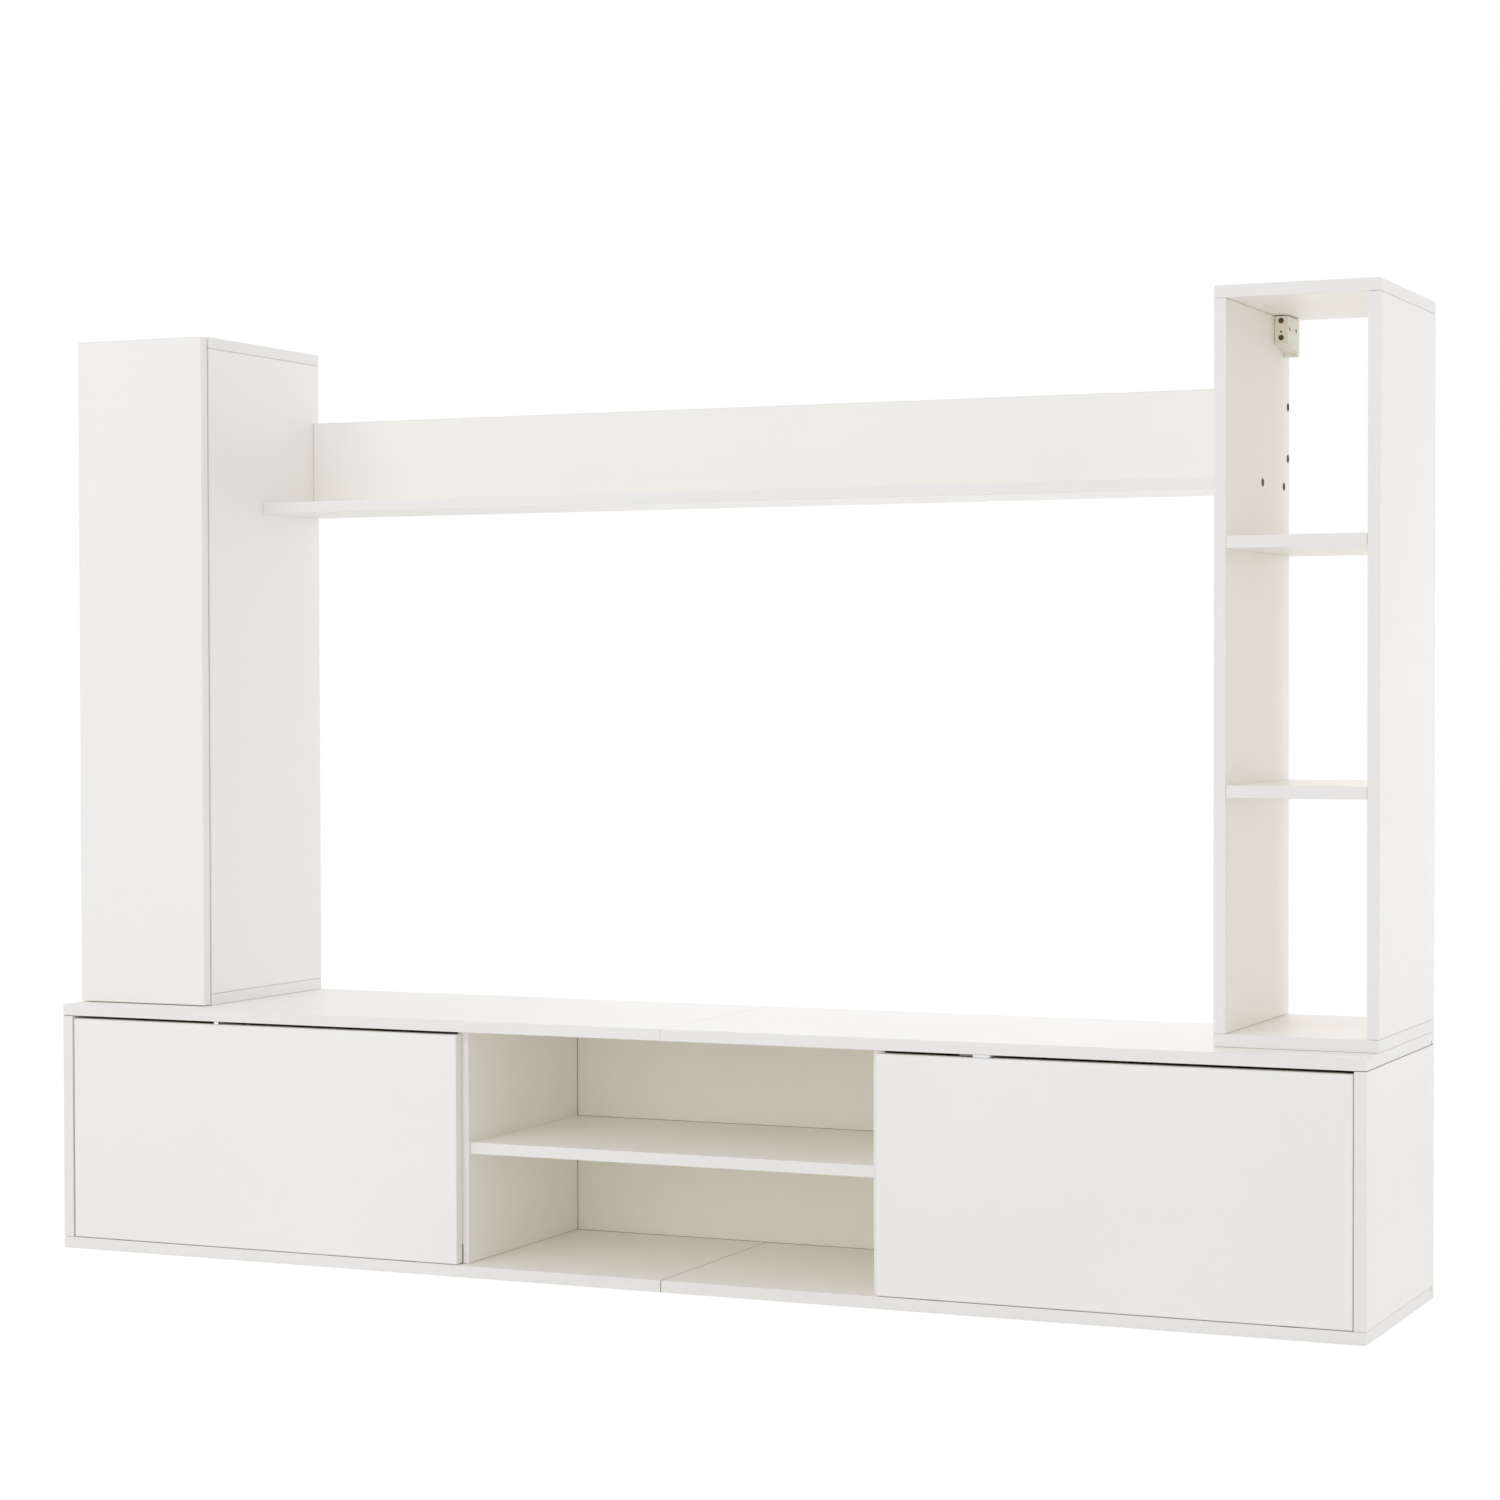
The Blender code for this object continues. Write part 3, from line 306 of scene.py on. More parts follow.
class MetalSettings(bpy.types.PropertyGroup):
    """Hinges, hooks, plates and screws."""

    plate_colour: colour_setting("Plated steel", "Nickel plating on the hinges", (0.66, 0.65, 0.63))
    bolt_colour: colour_setting("Dark bolt", "Bolts that hold the bridge", (0.035, 0.038, 0.042))
    brass_colour: colour_setting("Old brass", "Screws of the hangers", (0.17, 0.14, 0.065))
    bolt_radius: length_setting("Bolt head radius", "Radius of a bridge bolt's head", 0.0051)
    screw_radius: length_setting("Screw head radius", "Radius of a hinge screw's head", 0.0031)


class PlasticSettings(bpy.types.PropertyGroup):
    """Hangers, push latches and their tips."""

    case_colour: colour_setting("Hanger case", "Cream moulding of the hangers", (0.88, 0.85, 0.765))
    hole_shade_colour: colour_setting("Hanger holes", "Inside of the hangers' holes", (0.05, 0.045, 0.035))
    latch_colour: colour_setting("Latch", "White moulding of the latches", (0.95, 0.95, 0.945))
    tongue_colour: colour_setting("Tongue", "Grey tongue of the wide latch", (0.30, 0.27, 0.23))
    tip_colour: colour_setting("Latch tip", "Grey tip of a latch's plunger", (0.23, 0.23, 0.235))


SETTINGS = (
    ("unit_room", RoomSettings),
    ("unit_boards", BoardSettings),
    ("unit_backs", BackSettings),
    ("unit_metal", MetalSettings),
    ("unit_plastic", PlasticSettings),
)


def settings(name):
    return getattr(bpy.context.scene, name)


# Nodes


def node(tree, kind, inputs=None, **options):
    """Adds a node; each input takes a value or another node's output."""
    made = tree.nodes.new(kind)
    for key, value in options.items():
        setattr(made, key, value)
    for key, value in (inputs or {}).items():
        if isinstance(value, bpy.types.NodeSocket):
            tree.links.new(value, made.inputs[key])
        else:
            made.inputs[key].default_value = value
    return made


def math_node(tree, operation, first, second=0.0):
    return node(tree, "ShaderNodeMath", {0: first, 1: second}, operation=operation).outputs[0]


def vector_node(tree, operation, first, second=(0, 0, 0)):
    return node(tree, "ShaderNodeVectorMath", {0: first, 1: second}, operation=operation)


def ramp(tree, value, low, high):
    """One where a value is past high, nothing where it is under low."""
    return node(
        tree,
        "ShaderNodeMapRange",
        {"Value": value, "From Min": low, "From Max": high},
        interpolation_type="SMOOTHSTEP",
    ).outputs[0]


def inverse(tree, value):
    """One where a value is nothing, and nothing where it is one."""
    return math_node(tree, "SUBTRACT", 1.0, value)


def mix(tree, share, first, second, blend="MIX"):
    """Mixes two colours; each is a plain colour or another node's output."""
    made = node(tree, "ShaderNodeMix", {0: share}, data_type="RGBA", blend_type=blend)
    for socket, value in ((made.inputs[6], first), (made.inputs[7], second)):
        if isinstance(value, bpy.types.NodeSocket):
            tree.links.new(value, socket)
        else:
            socket.default_value = (*value, 1)
    return made.outputs[2]


def noise(tree, place, size, detail=2.0, roughness=0.5):
    """Noise with features of a given size in metres."""
    return node(
        tree,
        "ShaderNodeTexNoise",
        {"Vector": place, "Scale": 1 / size, "Detail": detail, "Roughness": roughness},
    ).outputs[0]


def around(tree, value, low=0.0, high=1.0):
    """Spreads a noise value between two numbers."""
    least, most = NOISE_SPAN
    return node(
        tree,
        "ShaderNodeMapRange",
        {"Value": value, "From Min": least, "From Max": most, "To Min": low, "To Max": high},
    ).outputs[0]


def patches(tree, place, size, detail=3.0, roughness=0.5):
    """Soft patches of a given size in metres, from nothing to one."""
    return around(tree, noise(tree, place, size, detail, roughness))


def bump(tree, height, depth):
    return node(
        tree, "ShaderNodeBump", {"Height": height, "Strength": 1.0, "Distance": depth}
    ).outputs[0]


def darker(colour, share):
    """A colour with only a share of its light."""
    return tuple(channel * share for channel in colour)


def opened(material):
    """A Principled material's tree, its shader and the object's own coordinates."""
    tree = material.node_tree
    place = node(tree, "ShaderNodeTexCoord").outputs["Object"]
    return tree, tree.nodes["Principled BSDF"], place


def new_material(name):
    """A Principled material: itself, its tree, its shader and the object's own coordinates."""
    material = bpy.data.materials.new(name)
    material.use_nodes = True
    return material, *opened(material)


def link_finish(tree, shader, colour, roughness, height, depth):
    """Links a finish's colour, its roughness and its fine relief."""
    tree.links.new(colour, shader.inputs["Base Color"])
    tree.links.new(roughness, shader.inputs["Roughness"])
    tree.links.new(bump(tree, height, depth), shader.inputs["Normal"])


def paint_over(tree, shader, share, colour):
    """Paints another colour over a finish where a share is one."""
    under = shader.inputs["Base Color"].links[0].from_socket
    tree.links.new(mix(tree, share, under, colour), shader.inputs["Base Color"])


def set_material(name, material):
    """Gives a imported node's own slots a finish."""
    for slot in frame["nodes"][name].material_slots:
        slot.material = material


def nodes_of(slot):
    """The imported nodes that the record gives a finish."""
    return [
        part["node"] for part in frame["record"]["subparts"] if part["material_slot"] == slot
    ]


def middle(name, axis):
    """Where the middle of a piece's box is along an axis."""
    low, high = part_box(name)
    return (low[axis] + high[axis]) / 2


# Room


def seen_directly(tree):
    """One for rays from the camera, or from gloss and glass."""
    path = node(tree, "ShaderNodeLightPath")
    seen = math_node(tree, "MAXIMUM", path.outputs["Is Camera Ray"], path.outputs["Is Glossy Ray"])
    return math_node(tree, "MAXIMUM", seen, path.outputs["Is Transmission Ray"])


def make_sky(room):
    world = bpy.data.worlds.new("studio_sky")
    bpy.context.scene.world = world
    world.use_nodes = True
    tree = world.node_tree
    tree.nodes.clear()
    light = node(
        tree, "ShaderNodeBackground", {"Color": (*room.light_colour, 1), "Strength": room.sky}
    )
    white = node(tree, "ShaderNodeBackground", {"Color": (1, 1, 1, 1), "Strength": 1.0})
    both = node(
        tree,
        "ShaderNodeMixShader",
        {0: seen_directly(tree), 1: light.outputs[0], 2: white.outputs[0]},
    )
    node(tree, "ShaderNodeOutputWorld", {"Surface": both.outputs[0]})


def make_floor(room):
    shape = bmesh.new()
    bmesh.ops.create_grid(shape, x_segments=1, y_segments=1, size=room.floor_size / 2)
    mesh = bpy.data.meshes.new("studio_floor")
    shape.to_mesh(mesh)
    shape.free()
    floor = bpy.data.objects.new("studio_floor", mesh)
    bpy.context.scene.collection.objects.link(floor)
    floor.location.z = -FLOOR_DROP
    material = bpy.data.materials.new("studio_floor")
    material.use_nodes = True
    tree = material.node_tree
    tree.nodes.clear()
    lit = node(tree, "ShaderNodeBsdfDiffuse", {"Color": (*room.floor_colour, 1)})
    white = node(tree, "ShaderNodeEmission", {"Color": (1, 1, 1, 1), "Strength": FLOOR_WHITE})
    seen = math_node(tree, "MULTIPLY", seen_directly(tree), room.floor_glow)
    both = node(
        tree, "ShaderNodeMixShader", {0: seen, 1: lit.outputs[0], 2: white.outputs[0]}
    )
    node(tree, "ShaderNodeOutputMaterial", {"Surface": both.outputs[0]})
    mesh.materials.append(material)


def make_lamp(name, place, facing, size, power, colour):
    lamp = bpy.data.lights.new(f"lamp_{name}", "AREA")
    lamp.shape = "RECTANGLE"
    lamp.size, lamp.size_y = size
    lamp.energy = power
    lamp.color = colour
    holder = bpy.data.objects.new(f"lamp_{name}", lamp)
    holder.location = place
    aim = Vector(facing) - Vector(place)
    holder.rotation_euler = aim.to_track_quat("-Z", "Y").to_euler()
    holder.visible_camera = False
    bpy.context.scene.collection.objects.link(holder)


def make_camera(room):
    camera = bpy.data.cameras.new("photo_camera")
    camera.lens = room.lens
    camera.sensor_width = SENSOR_WIDTH
    camera.shift_y = CAMERA_SHIFT
    camera.clip_end = SIGHT_END
    holder = bpy.data.objects.new("photo_camera", camera)
    holder.location = CAMERA_PLACE
    turn = Matrix.Rotation(CAMERA_YAW, 3, "Z") @ Matrix.Rotation(CAMERA_TILT, 3, "X")
    holder.rotation_euler = (turn @ Matrix.Rotation(CAMERA_ROLL, 3, "Z")).to_euler()
    bpy.context.scene.collection.objects.link(holder)
    bpy.context.scene.camera = holder


class UNIT_OT_room(bpy.types.Operator):
    """Sets the camera, the lamps, the sky and the floor"""

    bl_idname = "wall_unit.room"
    bl_label = "Studio"

    def execute(self, context):
        room = settings("unit_room")
        make_camera(room)
        make_sky(room)
        make_floor(room)
        for name, place, facing, size in LAMPS:
            make_lamp(name, place, facing, size, getattr(room, name), room.light_colour)
        context.scene.view_settings.view_transform = "Standard"
        context.scene.cycles.diffuse_bounces = LIGHT_BOUNCES
        return {"FINISHED"}


# Boards


def inside_distance(tree, place, low, high):
    """How far a point is from a box's sides, as three numbers."""
    from_low = vector_node(tree, "SUBTRACT", place, low).outputs[0]
    from_high = vector_node(tree, "SUBTRACT", high, place).outputs[0]
    least = vector_node(tree, "MINIMUM", from_low, from_high).outputs[0]
    return node(tree, "ShaderNodeSeparateXYZ", {0: least}).outputs


def neighbours(name):
    """The boxes of what a board meets along a line of painted shade: the backs, and boards in a
    seamed pair.
    """
    low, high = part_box(name)
    backs, boards = nodes_of("hardboard"), nodes_of("laminate")
    found = []
    for pair in SEAM_SHADE_PAIRS:
        found += [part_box(other) for other in pair if name in pair and other != name]
    for other in boards if name in backs else backs:
        other_low, other_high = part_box(other)
        gaps = [max(other_low[i] - high[i], low[i] - other_high[i], 0) for i in range(3)]
        if Vector(gaps).length < TOUCHING:
            found.append((other_low, other_high))
    return found


def painted_seam_shade(tree, place, name):
    """One on the thin lines along which a board meets its neighbours, where shade is painted."""
    reach = settings("unit_boards").seam
    share = 0.0
    for low, high in neighbours(name):
        before = vector_node(tree, "SUBTRACT", low, place).outputs[0]
        beyond = vector_node(tree, "SUBTRACT", place, high).outputs[0]
        off = vector_node(tree, "MAXIMUM", before, beyond).outputs[0]
        off = vector_node(tree, "MAXIMUM", off).outputs[0]
        gap = vector_node(tree, "LENGTH", off).outputs["Value"]
        close = inverse(tree, ramp(tree, gap, reach, reach * SEAM_FADE))
        share = math_node(tree, "MAXIMUM", close, share)
    return share


def lipping_front():
    """Where the dividers' front edges stand, just behind the closed drop fronts."""
    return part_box("flap_left")[1][1] + LIPPING_GAP


def board_box(name):
    """A board's box, with its lipping where it has one."""
    low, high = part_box(name)
    if name in LIPPED:
        low = (low[0], lipping_front(), low[2])
    return low, high


def board_finish(name):
    """Laminate on a board's faces, banding on its edges, the glue line between the two, and painted
    shade where it meets its neighbours.
    """
    look = settings("unit_boards")
    material, tree, shader, place = new_material(f"laminate_{name}")
    low, high = board_box(name)
    size = [high[i] - low[i] for i in range(3)]
    thin = size.index(min(size))
    reach = inside_distance(tree, place, low, high)
    rim = math_node(tree, "MINIMUM", *[reach[i] for i in range(3) if i != thin])
    start, stop = (look.band * share for share in BAND_FADE)
    on_edge = ramp(tree, reach[thin], start, stop)
    banded = math_node(tree, "MAXIMUM", on_edge, math_node(tree, "LESS_THAN", rim, look.band))
    off_line = math_node(tree, "ABSOLUTE", math_node(tree, "SUBTRACT", rim, look.band))
    on_line = inverse(tree, ramp(tree, off_line, look.line * LINE_CORE, look.line))
    line = math_node(tree, "MULTIPLY", on_line, inverse(tree, on_edge))

    paint = mix(tree, banded, look.face_colour, look.edge_colour)
    paint = mix(tree, math_node(tree, "MULTIPLY", line, LINE_STRENGTH), paint, look.line_colour)
    # Painted shade: a thin dark line where the board meets its neighbours
    paint = mix(tree, painted_seam_shade(tree, place, name), paint, look.seam_shade_colour)
    tone = mix(tree, patches(tree, place, LAMINATE_PATCH), (1.0, 1.0, 1.0), LAMINATE_TINT)
    paint = mix(tree, 1.0, paint, tone, "MULTIPLY")

    grain = noise(tree, place, look.grain, roughness=0.6)
    fine = math_node(tree, "MULTIPLY", grain, inverse(tree, banded))
    wave = math_node(tree, "MULTIPLY", noise(tree, place, WAVE, detail=1.0), WAVE_RELIEF)
    height = math_node(tree, "ADD", math_node(tree, "MULTIPLY", fine, GRAIN_RELIEF), wave)
    height = math_node(tree, "SUBTRACT", height, math_node(tree, "MULTIPLY", line, LINE_RELIEF))
    rough = around(tree, grain, *LAMINATE_ROUGHNESS)
    link_finish(tree, shader, paint, rough, height, LAMINATE_RELIEF)
    shader.inputs["Specular IOR Level"].default_value = LAMINATE_GLOSS
    return material


class UNIT_OT_boards(bpy.types.Operator):
    """Gives every board its laminate and its edge banding"""

    bl_idname = "wall_unit.boards"
    bl_label = "Boards"

    def execute(self, context):
        for name in nodes_of("laminate"):
            set_material(name, board_finish(name))
        return {"FINISHED"}


def lipping_outline(name):
    """A lipping seen from the front: down to the floor beside the drop front, and above the
    reach of its swinging lower edge behind it."""
    low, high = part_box(name)
    front_low, front_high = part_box(name.replace("divider", "flap"))
    if front_low[0] < low[0]:
        covered, bare, end = low[0], high[0], front_high[0] + LIPPING_PLAY
    else:
        covered, bare, end = high[0], low[0], front_low[0] - LIPPING_PLAY
    return [
        (covered, LIPPING_LOW), (end, LIPPING_LOW), (end, low[2]),
        (bare, low[2]), (bare, high[2]), (covered, high[2]),
    ]


def outline_piece(name, outline, front, rear, material):
    """A small piece with softened edges, its outline drawn from the front, on the carcass."""
    shape = bmesh.new()
    rings = [[shape.verts.new((x, y, z)) for x, z in outline] for y in (front, rear)]
    for ring in rings:
        shape.faces.new(ring)
    for i in range(len(outline)):
        shape.faces.new((rings[0][i - 1], rings[0][i], rings[1][i], rings[1][i - 1]))
    bmesh.ops.recalc_face_normals(shape, faces=shape.faces[:])
    bmesh.ops.bevel(
        shape, geom=shape.edges[:], offset=PIECE_ROUND, segments=2, profile=0.5, affect="EDGES"
    )
    mesh = bpy.data.meshes.new(name)
    shape.to_mesh(mesh)
    shape.free()
    mesh.materials.append(material)
    piece = bpy.data.objects.new(name, mesh)
    bpy.context.scene.collection.objects.link(piece)
    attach(piece, "carcass")


class UNIT_OT_lippings(bpy.types.Operator):
    """Brings the dividers' front edges up to the closed drop fronts"""

    bl_idname = "wall_unit.lippings"
    bl_label = "Divider lippings"

    def execute(self, context):
        for name in LIPPED:
            outline, rear = lipping_outline(name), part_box(name)[0][1] + LIPPING_ROOT
            material = board_finish(name)
            outline_piece(f"{name}_lipping", outline, lipping_front(), rear, material)
        return {"FINISHED"}


def back_finish(name):
    """White lacquer on the inner face of a thin back, bare pressed fibre on the rest, and painted
    shade where it meets the boards.
    """
    look = settings("unit_backs")
    material, tree, shader, place = new_material(f"lacquer_{name}")
    depth = node(tree, "ShaderNodeSeparateXYZ", {0: place}).outputs[1]
    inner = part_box(name)[0][1]
    bare = ramp(tree, depth, inner + LACQUER[0], inner + LACQUER[1])
    fibre = noise(tree, place, look.fibre, detail=6.0, roughness=0.7)
    dark = darker(look.fibre_colour, FIBRE_SHADE)
    brown = mix(tree, around(tree, fibre), dark, look.fibre_colour)
    pale = darker(look.face_colour, LACQUER_SHADE)
    white = mix(tree, patches(tree, place, LACQUER_PATCH), look.face_colour, pale)
    paint = mix(tree, bare, white, brown)
    # Painted shade along the lines where the back meets the boards
    seam = settings("unit_boards").seam_shade_colour
    paint = mix(tree, painted_seam_shade(tree, place, name), paint, seam)
    low, high = BACK_ROUGHNESS
    rough = node(
        tree, "ShaderNodeMapRange", {"Value": bare, "To Min": low, "To Max": high}
    ).outputs[0]
    tall = math_node(tree, "MULTIPLY", fibre, math_node(tree, "ADD", bare, LACQUERED_RELIEF))
    link_finish(tree, shader, paint, rough, tall, FIBRE_RELIEF)
    shader.inputs["Specular IOR Level"].default_value = BACK_GLOSS
    return material


class UNIT_OT_backs(bpy.types.Operator):
    """Lacquers the thin backs inside and leaves their fibre bare behind"""

    bl_idname = "wall_unit.backs"
    bl_label = "Backs"

    def execute(self, context):
        for name in nodes_of("hardboard"):
            set_material(name, back_finish(name))
        return {"FINISHED"}


# Metal and plastic


def metal_finish(name, colour, roughness, stain, metallic=1.0):
    """Plated or browned metal with fine drawing marks and a little tarnish."""
    material, tree, shader, place = new_material(name)
    shader.inputs["Metallic"].default_value = metallic
    tarnish = patches(tree, place, METAL_PATCH, detail=4.0, roughness=0.6)
    paint = mix(tree, tarnish, colour, darker(colour, 1 - stain))
    marks = noise(tree, place, METAL_MARK, detail=3.0)
    rough = around(tree, marks, *(roughness + swing for swing in METAL_SWING))
    link_finish(tree, shader, paint, rough, marks, METAL_RELIEF)
    return material


def plastic_finish(name, colour, roughness):
    """Moulded plastic: faintly uneven, with a fine eroded texture."""
    material, tree, shader, place = new_material(name)
    shade = darker(colour, PLASTIC_SHADE)
    paint = mix(tree, patches(tree, place, PLASTIC_PATCH), colour, shade)
    marks = noise(tree, place, PLASTIC_MARK, roughness=0.6)
    rough = around(tree, marks, *(roughness + swing for swing in PLASTIC_SWING))
    link_finish(tree, shader, paint, rough, marks, PLASTIC_RELIEF)
    return material


def case_finish(name):
    """Cream plastic for a hanger's case, with painted shade inside its holes."""
    look = settings("unit_plastic")
    material = plastic_finish(f"plastic_{name}", look.case_colour, CASE_ROUGHNESS)
    tree, shader, place = opened(material)
    low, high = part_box(name)
    reach = inside_distance(tree, place, low, high)
    deep = math_node(tree, "MINIMUM", reach[0], reach[1])
    deep = ramp(tree, deep, HANGER_SKIN, 2 * HANGER_SKIN)
    height = node(tree, "ShaderNodeSeparateXYZ", {0: place}).outputs[2]
    level = math_node(tree, "GREATER_THAN", height, high[2] - HANGER_HOLE_REACH)
    # Painted shade: the insides of the holes are dark
    paint_over(tree, shader, math_node(tree, "MULTIPLY", deep, level), look.hole_shade_colour)
    return material


def wide_latch_finish():
    """White plastic for the wide latch, grey on the shorter of its two tongues."""
    look = settings("unit_plastic")
    material = plastic_finish(f"plastic_{WIDE_LATCH}", look.latch_colour, LATCH_ROUGHNESS)
    tree, shader, place = opened(material)
    along = node(tree, "ShaderNodeSeparateXYZ", {0: place}).outputs
    side = math_node(tree, "LESS_THAN", along[0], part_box(WIDE_LATCH)[0][0] + TONGUE_WIDTH)
    front = math_node(tree, "LESS_THAN", along[1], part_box("flap_right")[1][1])
    paint_over(tree, shader, math_node(tree, "MULTIPLY", side, front), look.tongue_colour)
    return material


def latch_lips():
    """The white lips that show in the slots: name, outline from the front, front and rear."""
    front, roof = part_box("base_top_left")[0][1:]
    centre, right = middle(SLIM_LATCH, 0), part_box(WIDE_LATCH)[1][0]
    spans = {
        "left": (centre - SLIM_LIP_WIDTH / 2, centre + SLIM_LIP_WIDTH / 2),
        "right": (right - WIDE_LIP_WIDTH, right),
    }
    front, high = front + LIP_SETBACK, roof - LIP_PLAY
    low = high - LIP_HEIGHT
    lips = []
    for side, (start, stop) in spans.items():
        outline = [(start, low), (stop, low), (stop, high), (start, high)]
        lips.append((f"latch_lip_{side}", outline, front, front + LIP_DEPTH))
    return lips


class UNIT_OT_hardware(bpy.types.Operator):
    """Plates the hinges, hooks and joining plates, and colours the latches and hangers"""

    bl_idname = "wall_unit.hardware"
    bl_label = "Hinges, latches and hangers"

    def execute(self, context):
        metal = settings("unit_metal")
        plastic = settings("unit_plastic")
        plated = metal_finish("plated_steel", metal.plate_colour, roughness=0.28, stain=0.1)
        for name in nodes_of("zinc_steel"):
            set_material(name, plated)
        white = plastic_finish("white_plastic", plastic.latch_colour, LATCH_ROUGHNESS)
        for name in nodes_of("white_plastic"):
            set_material(name, case_finish(name) if "hanger" in name else white)
        set_material(WIDE_LATCH, wide_latch_finish())
        for name, outline, front, rear in latch_lips():
            outline_piece(name, outline, front, rear, white)
        tip = plastic_finish("grey_tip", plastic.tip_colour, TIP_ROUGHNESS)
        for name in nodes_of("rubber"):
            set_material(name, tip)
        return {"FINISHED"}


# Fasteners


def upward(tree, height):
    """A vector that points up, as long as a given height."""
    return node(tree, "ShaderNodeCombineXYZ", {2: height}).outputs[0]


def shifted(tree, shape, offset):
    return node(
        tree, "GeometryNodeTransform", {"Geometry": shape, "Translation": offset}
    ).outputs[0]


def domed_head(tree, given):
    """A round head that stands on the board, its upper face falling towards the rim."""
    height = given["Head height"]
    disc = node(
        tree,
        "GeometryNodeMeshCylinder",
        {
            "Vertices": HEAD_SIDES,
            "Fill Segments": HEAD_RINGS,
            "Radius": given["Head radius"],
            "Depth": height,
        },
    ).outputs["Mesh"]
    place = node(tree, "GeometryNodeInputPosition").outputs[0]
    along = node(tree, "ShaderNodeSeparateXYZ", {0: place}).outputs
    flat = node(tree, "ShaderNodeCombineXYZ", {0: along[0], 1: along[1]}).outputs[0]
    spread = vector_node(tree, "LENGTH", flat).outputs["Value"]
    share = math_node(tree, "DIVIDE", spread, given["Head radius"])
    drop = math_node(tree, "MULTIPLY", math_node(tree, "POWER", share, DOME_POWER), given["Dome"])
    drop = math_node(tree, "MULTIPLY", drop, height)
    upper = node(
        tree,
        "FunctionNodeCompare",
        {0: along[2], 1: math_node(tree, "MULTIPLY", height, UPPER_SHARE)},
        data_type="FLOAT",
        operation="GREATER_THAN",
    ).outputs[0]
    lower = upward(tree, math_node(tree, "MULTIPLY", drop, -1.0))
    dome = node(
        tree,
        "GeometryNodeSetPosition",
        {"Geometry": disc, "Selection": upper, "Offset": lower},
    ).outputs[0]
    return shifted(tree, dome, upward(tree, math_node(tree, "MULTIPLY", height, 0.5)))


def cross_cut(tree, head, given):
    """Cuts two crossing bars out of a head's top. A bar's middle lies in it, so half cuts."""
    top = upward(tree, given["Head height"])
    cuts = (("Cut length", 1.0), ("Cross cut length", CROSS_CUT_SHARE))
    for across, (length, share) in enumerate(cuts):
        width = math_node(tree, "MULTIPLY", given["Cut width"], share)
        depth = math_node(tree, "MULTIPLY", given["Cut depth"], 2.0 * share)
        size = node(
            tree, "ShaderNodeCombineXYZ", {across: given[length], 1 - across: width, 2: depth}
        ).outputs[0]
        bar = node(tree, "GeometryNodeMeshCube", {"Size": size}).outputs["Mesh"]
        head = node(
            tree,
            "GeometryNodeMeshBoolean",
            {"Mesh 1": head, "Mesh 2": shifted(tree, bar, top)},
            operation="DIFFERENCE",
        ).outputs["Mesh"]
    return head


def sunk_shank(tree, given):
    """A shank that reaches down into the board."""
    bar = node(
        tree,
        "GeometryNodeMeshCylinder",
        {
            "Vertices": SHANK_SIDES,
            "Radius": given["Shank radius"],
            "Depth": given["Shank length"],
        },
    ).outputs["Mesh"]
    half = math_node(tree, "MULTIPLY", given["Shank length"], -0.5)
    return shifted(tree, bar, upward(tree, half))


def marked(tree, name, kind):
    """What each marked point carries under a name."""
    return node(
        tree, "GeometryNodeInputNamedAttribute", {"Name": name}, data_type=kind
    ).outputs[0]


def on_marks(tree, shape, points):
    """A shape at each marked point, facing along its aim and turned by its spin."""
    facing = node(
        tree,
        "FunctionNodeAlignRotationToVector",
        {"Vector": marked(tree, "aim", "FLOAT_VECTOR")},
        axis="Z",
    ).outputs[0]
    spin = upward(tree, marked(tree, "spin", "FLOAT"))
    twist = node(tree, "FunctionNodeEulerToRotation", {0: spin}).outputs[0]
    turn = node(
        tree,
        "FunctionNodeRotateRotation",
        {"Rotation": facing, "Rotate By": twist},
        rotation_space="LOCAL",
    ).outputs[0]
    spots = node(tree, "GeometryNodeMeshToPoints", {"Mesh": points}, mode="VERTICES").outputs[0]
    return node(
        tree,
        "GeometryNodeInstanceOnPoints",
        {"Points": spots, "Instance": shape, "Rotation": turn},
    ).outputs[0]


def fastener_tree():
    """Screws with domed heads and a cross cut in them, one at each marked point."""
    tree = bpy.data.node_groups.new("fasteners", "GeometryNodeTree")
    interface = tree.interface
    interface.new_socket("Geometry", in_out="INPUT", socket_type="NodeSocketGeometry")
    for name, default in FASTENER.items():
        size = interface.new_socket(name, in_out="INPUT", socket_type="NodeSocketFloat")
        size.default_value = default
    interface.new_socket("Metal", in_out="INPUT", socket_type="NodeSocketMaterial")
    interface.new_socket("Geometry", in_out="OUTPUT", socket_type="NodeSocketGeometry")
    given = node(tree, "NodeGroupInput").outputs
    whole = tree.nodes.new("GeometryNodeJoinGeometry")
    tree.links.new(cross_cut(tree, domed_head(tree, given), given), whole.inputs[0])
    tree.links.new(sunk_shank(tree, given), whole.inputs[0])
    placed = on_marks(tree, whole.outputs[0], given["Geometry"])
    real = node(tree, "GeometryNodeRealizeInstances", {"Geometry": placed}).outputs[0]
    done = node(
        tree, "GeometryNodeSetMaterial", {"Geometry": real, "Material": given["Metal"]}
    ).outputs[0]
    node(tree, "NodeGroupOutput", {"Geometry": done})
    return tree


def split_faces(mesh):
    """Merges doubled points and splits every face into triangles, so that the shells are closed."""
    shape = bmesh.new()
    shape.from_mesh(mesh)
    bmesh.ops.remove_doubles(shape, verts=shape.verts[:], dist=MERGED)
    bmesh.ops.dissolve_degenerate(shape, edges=shape.edges[:], dist=MERGED)
    bmesh.ops.triangulate(shape, faces=shape.faces[:])
    shape.to_mesh(mesh)
    shape.free()


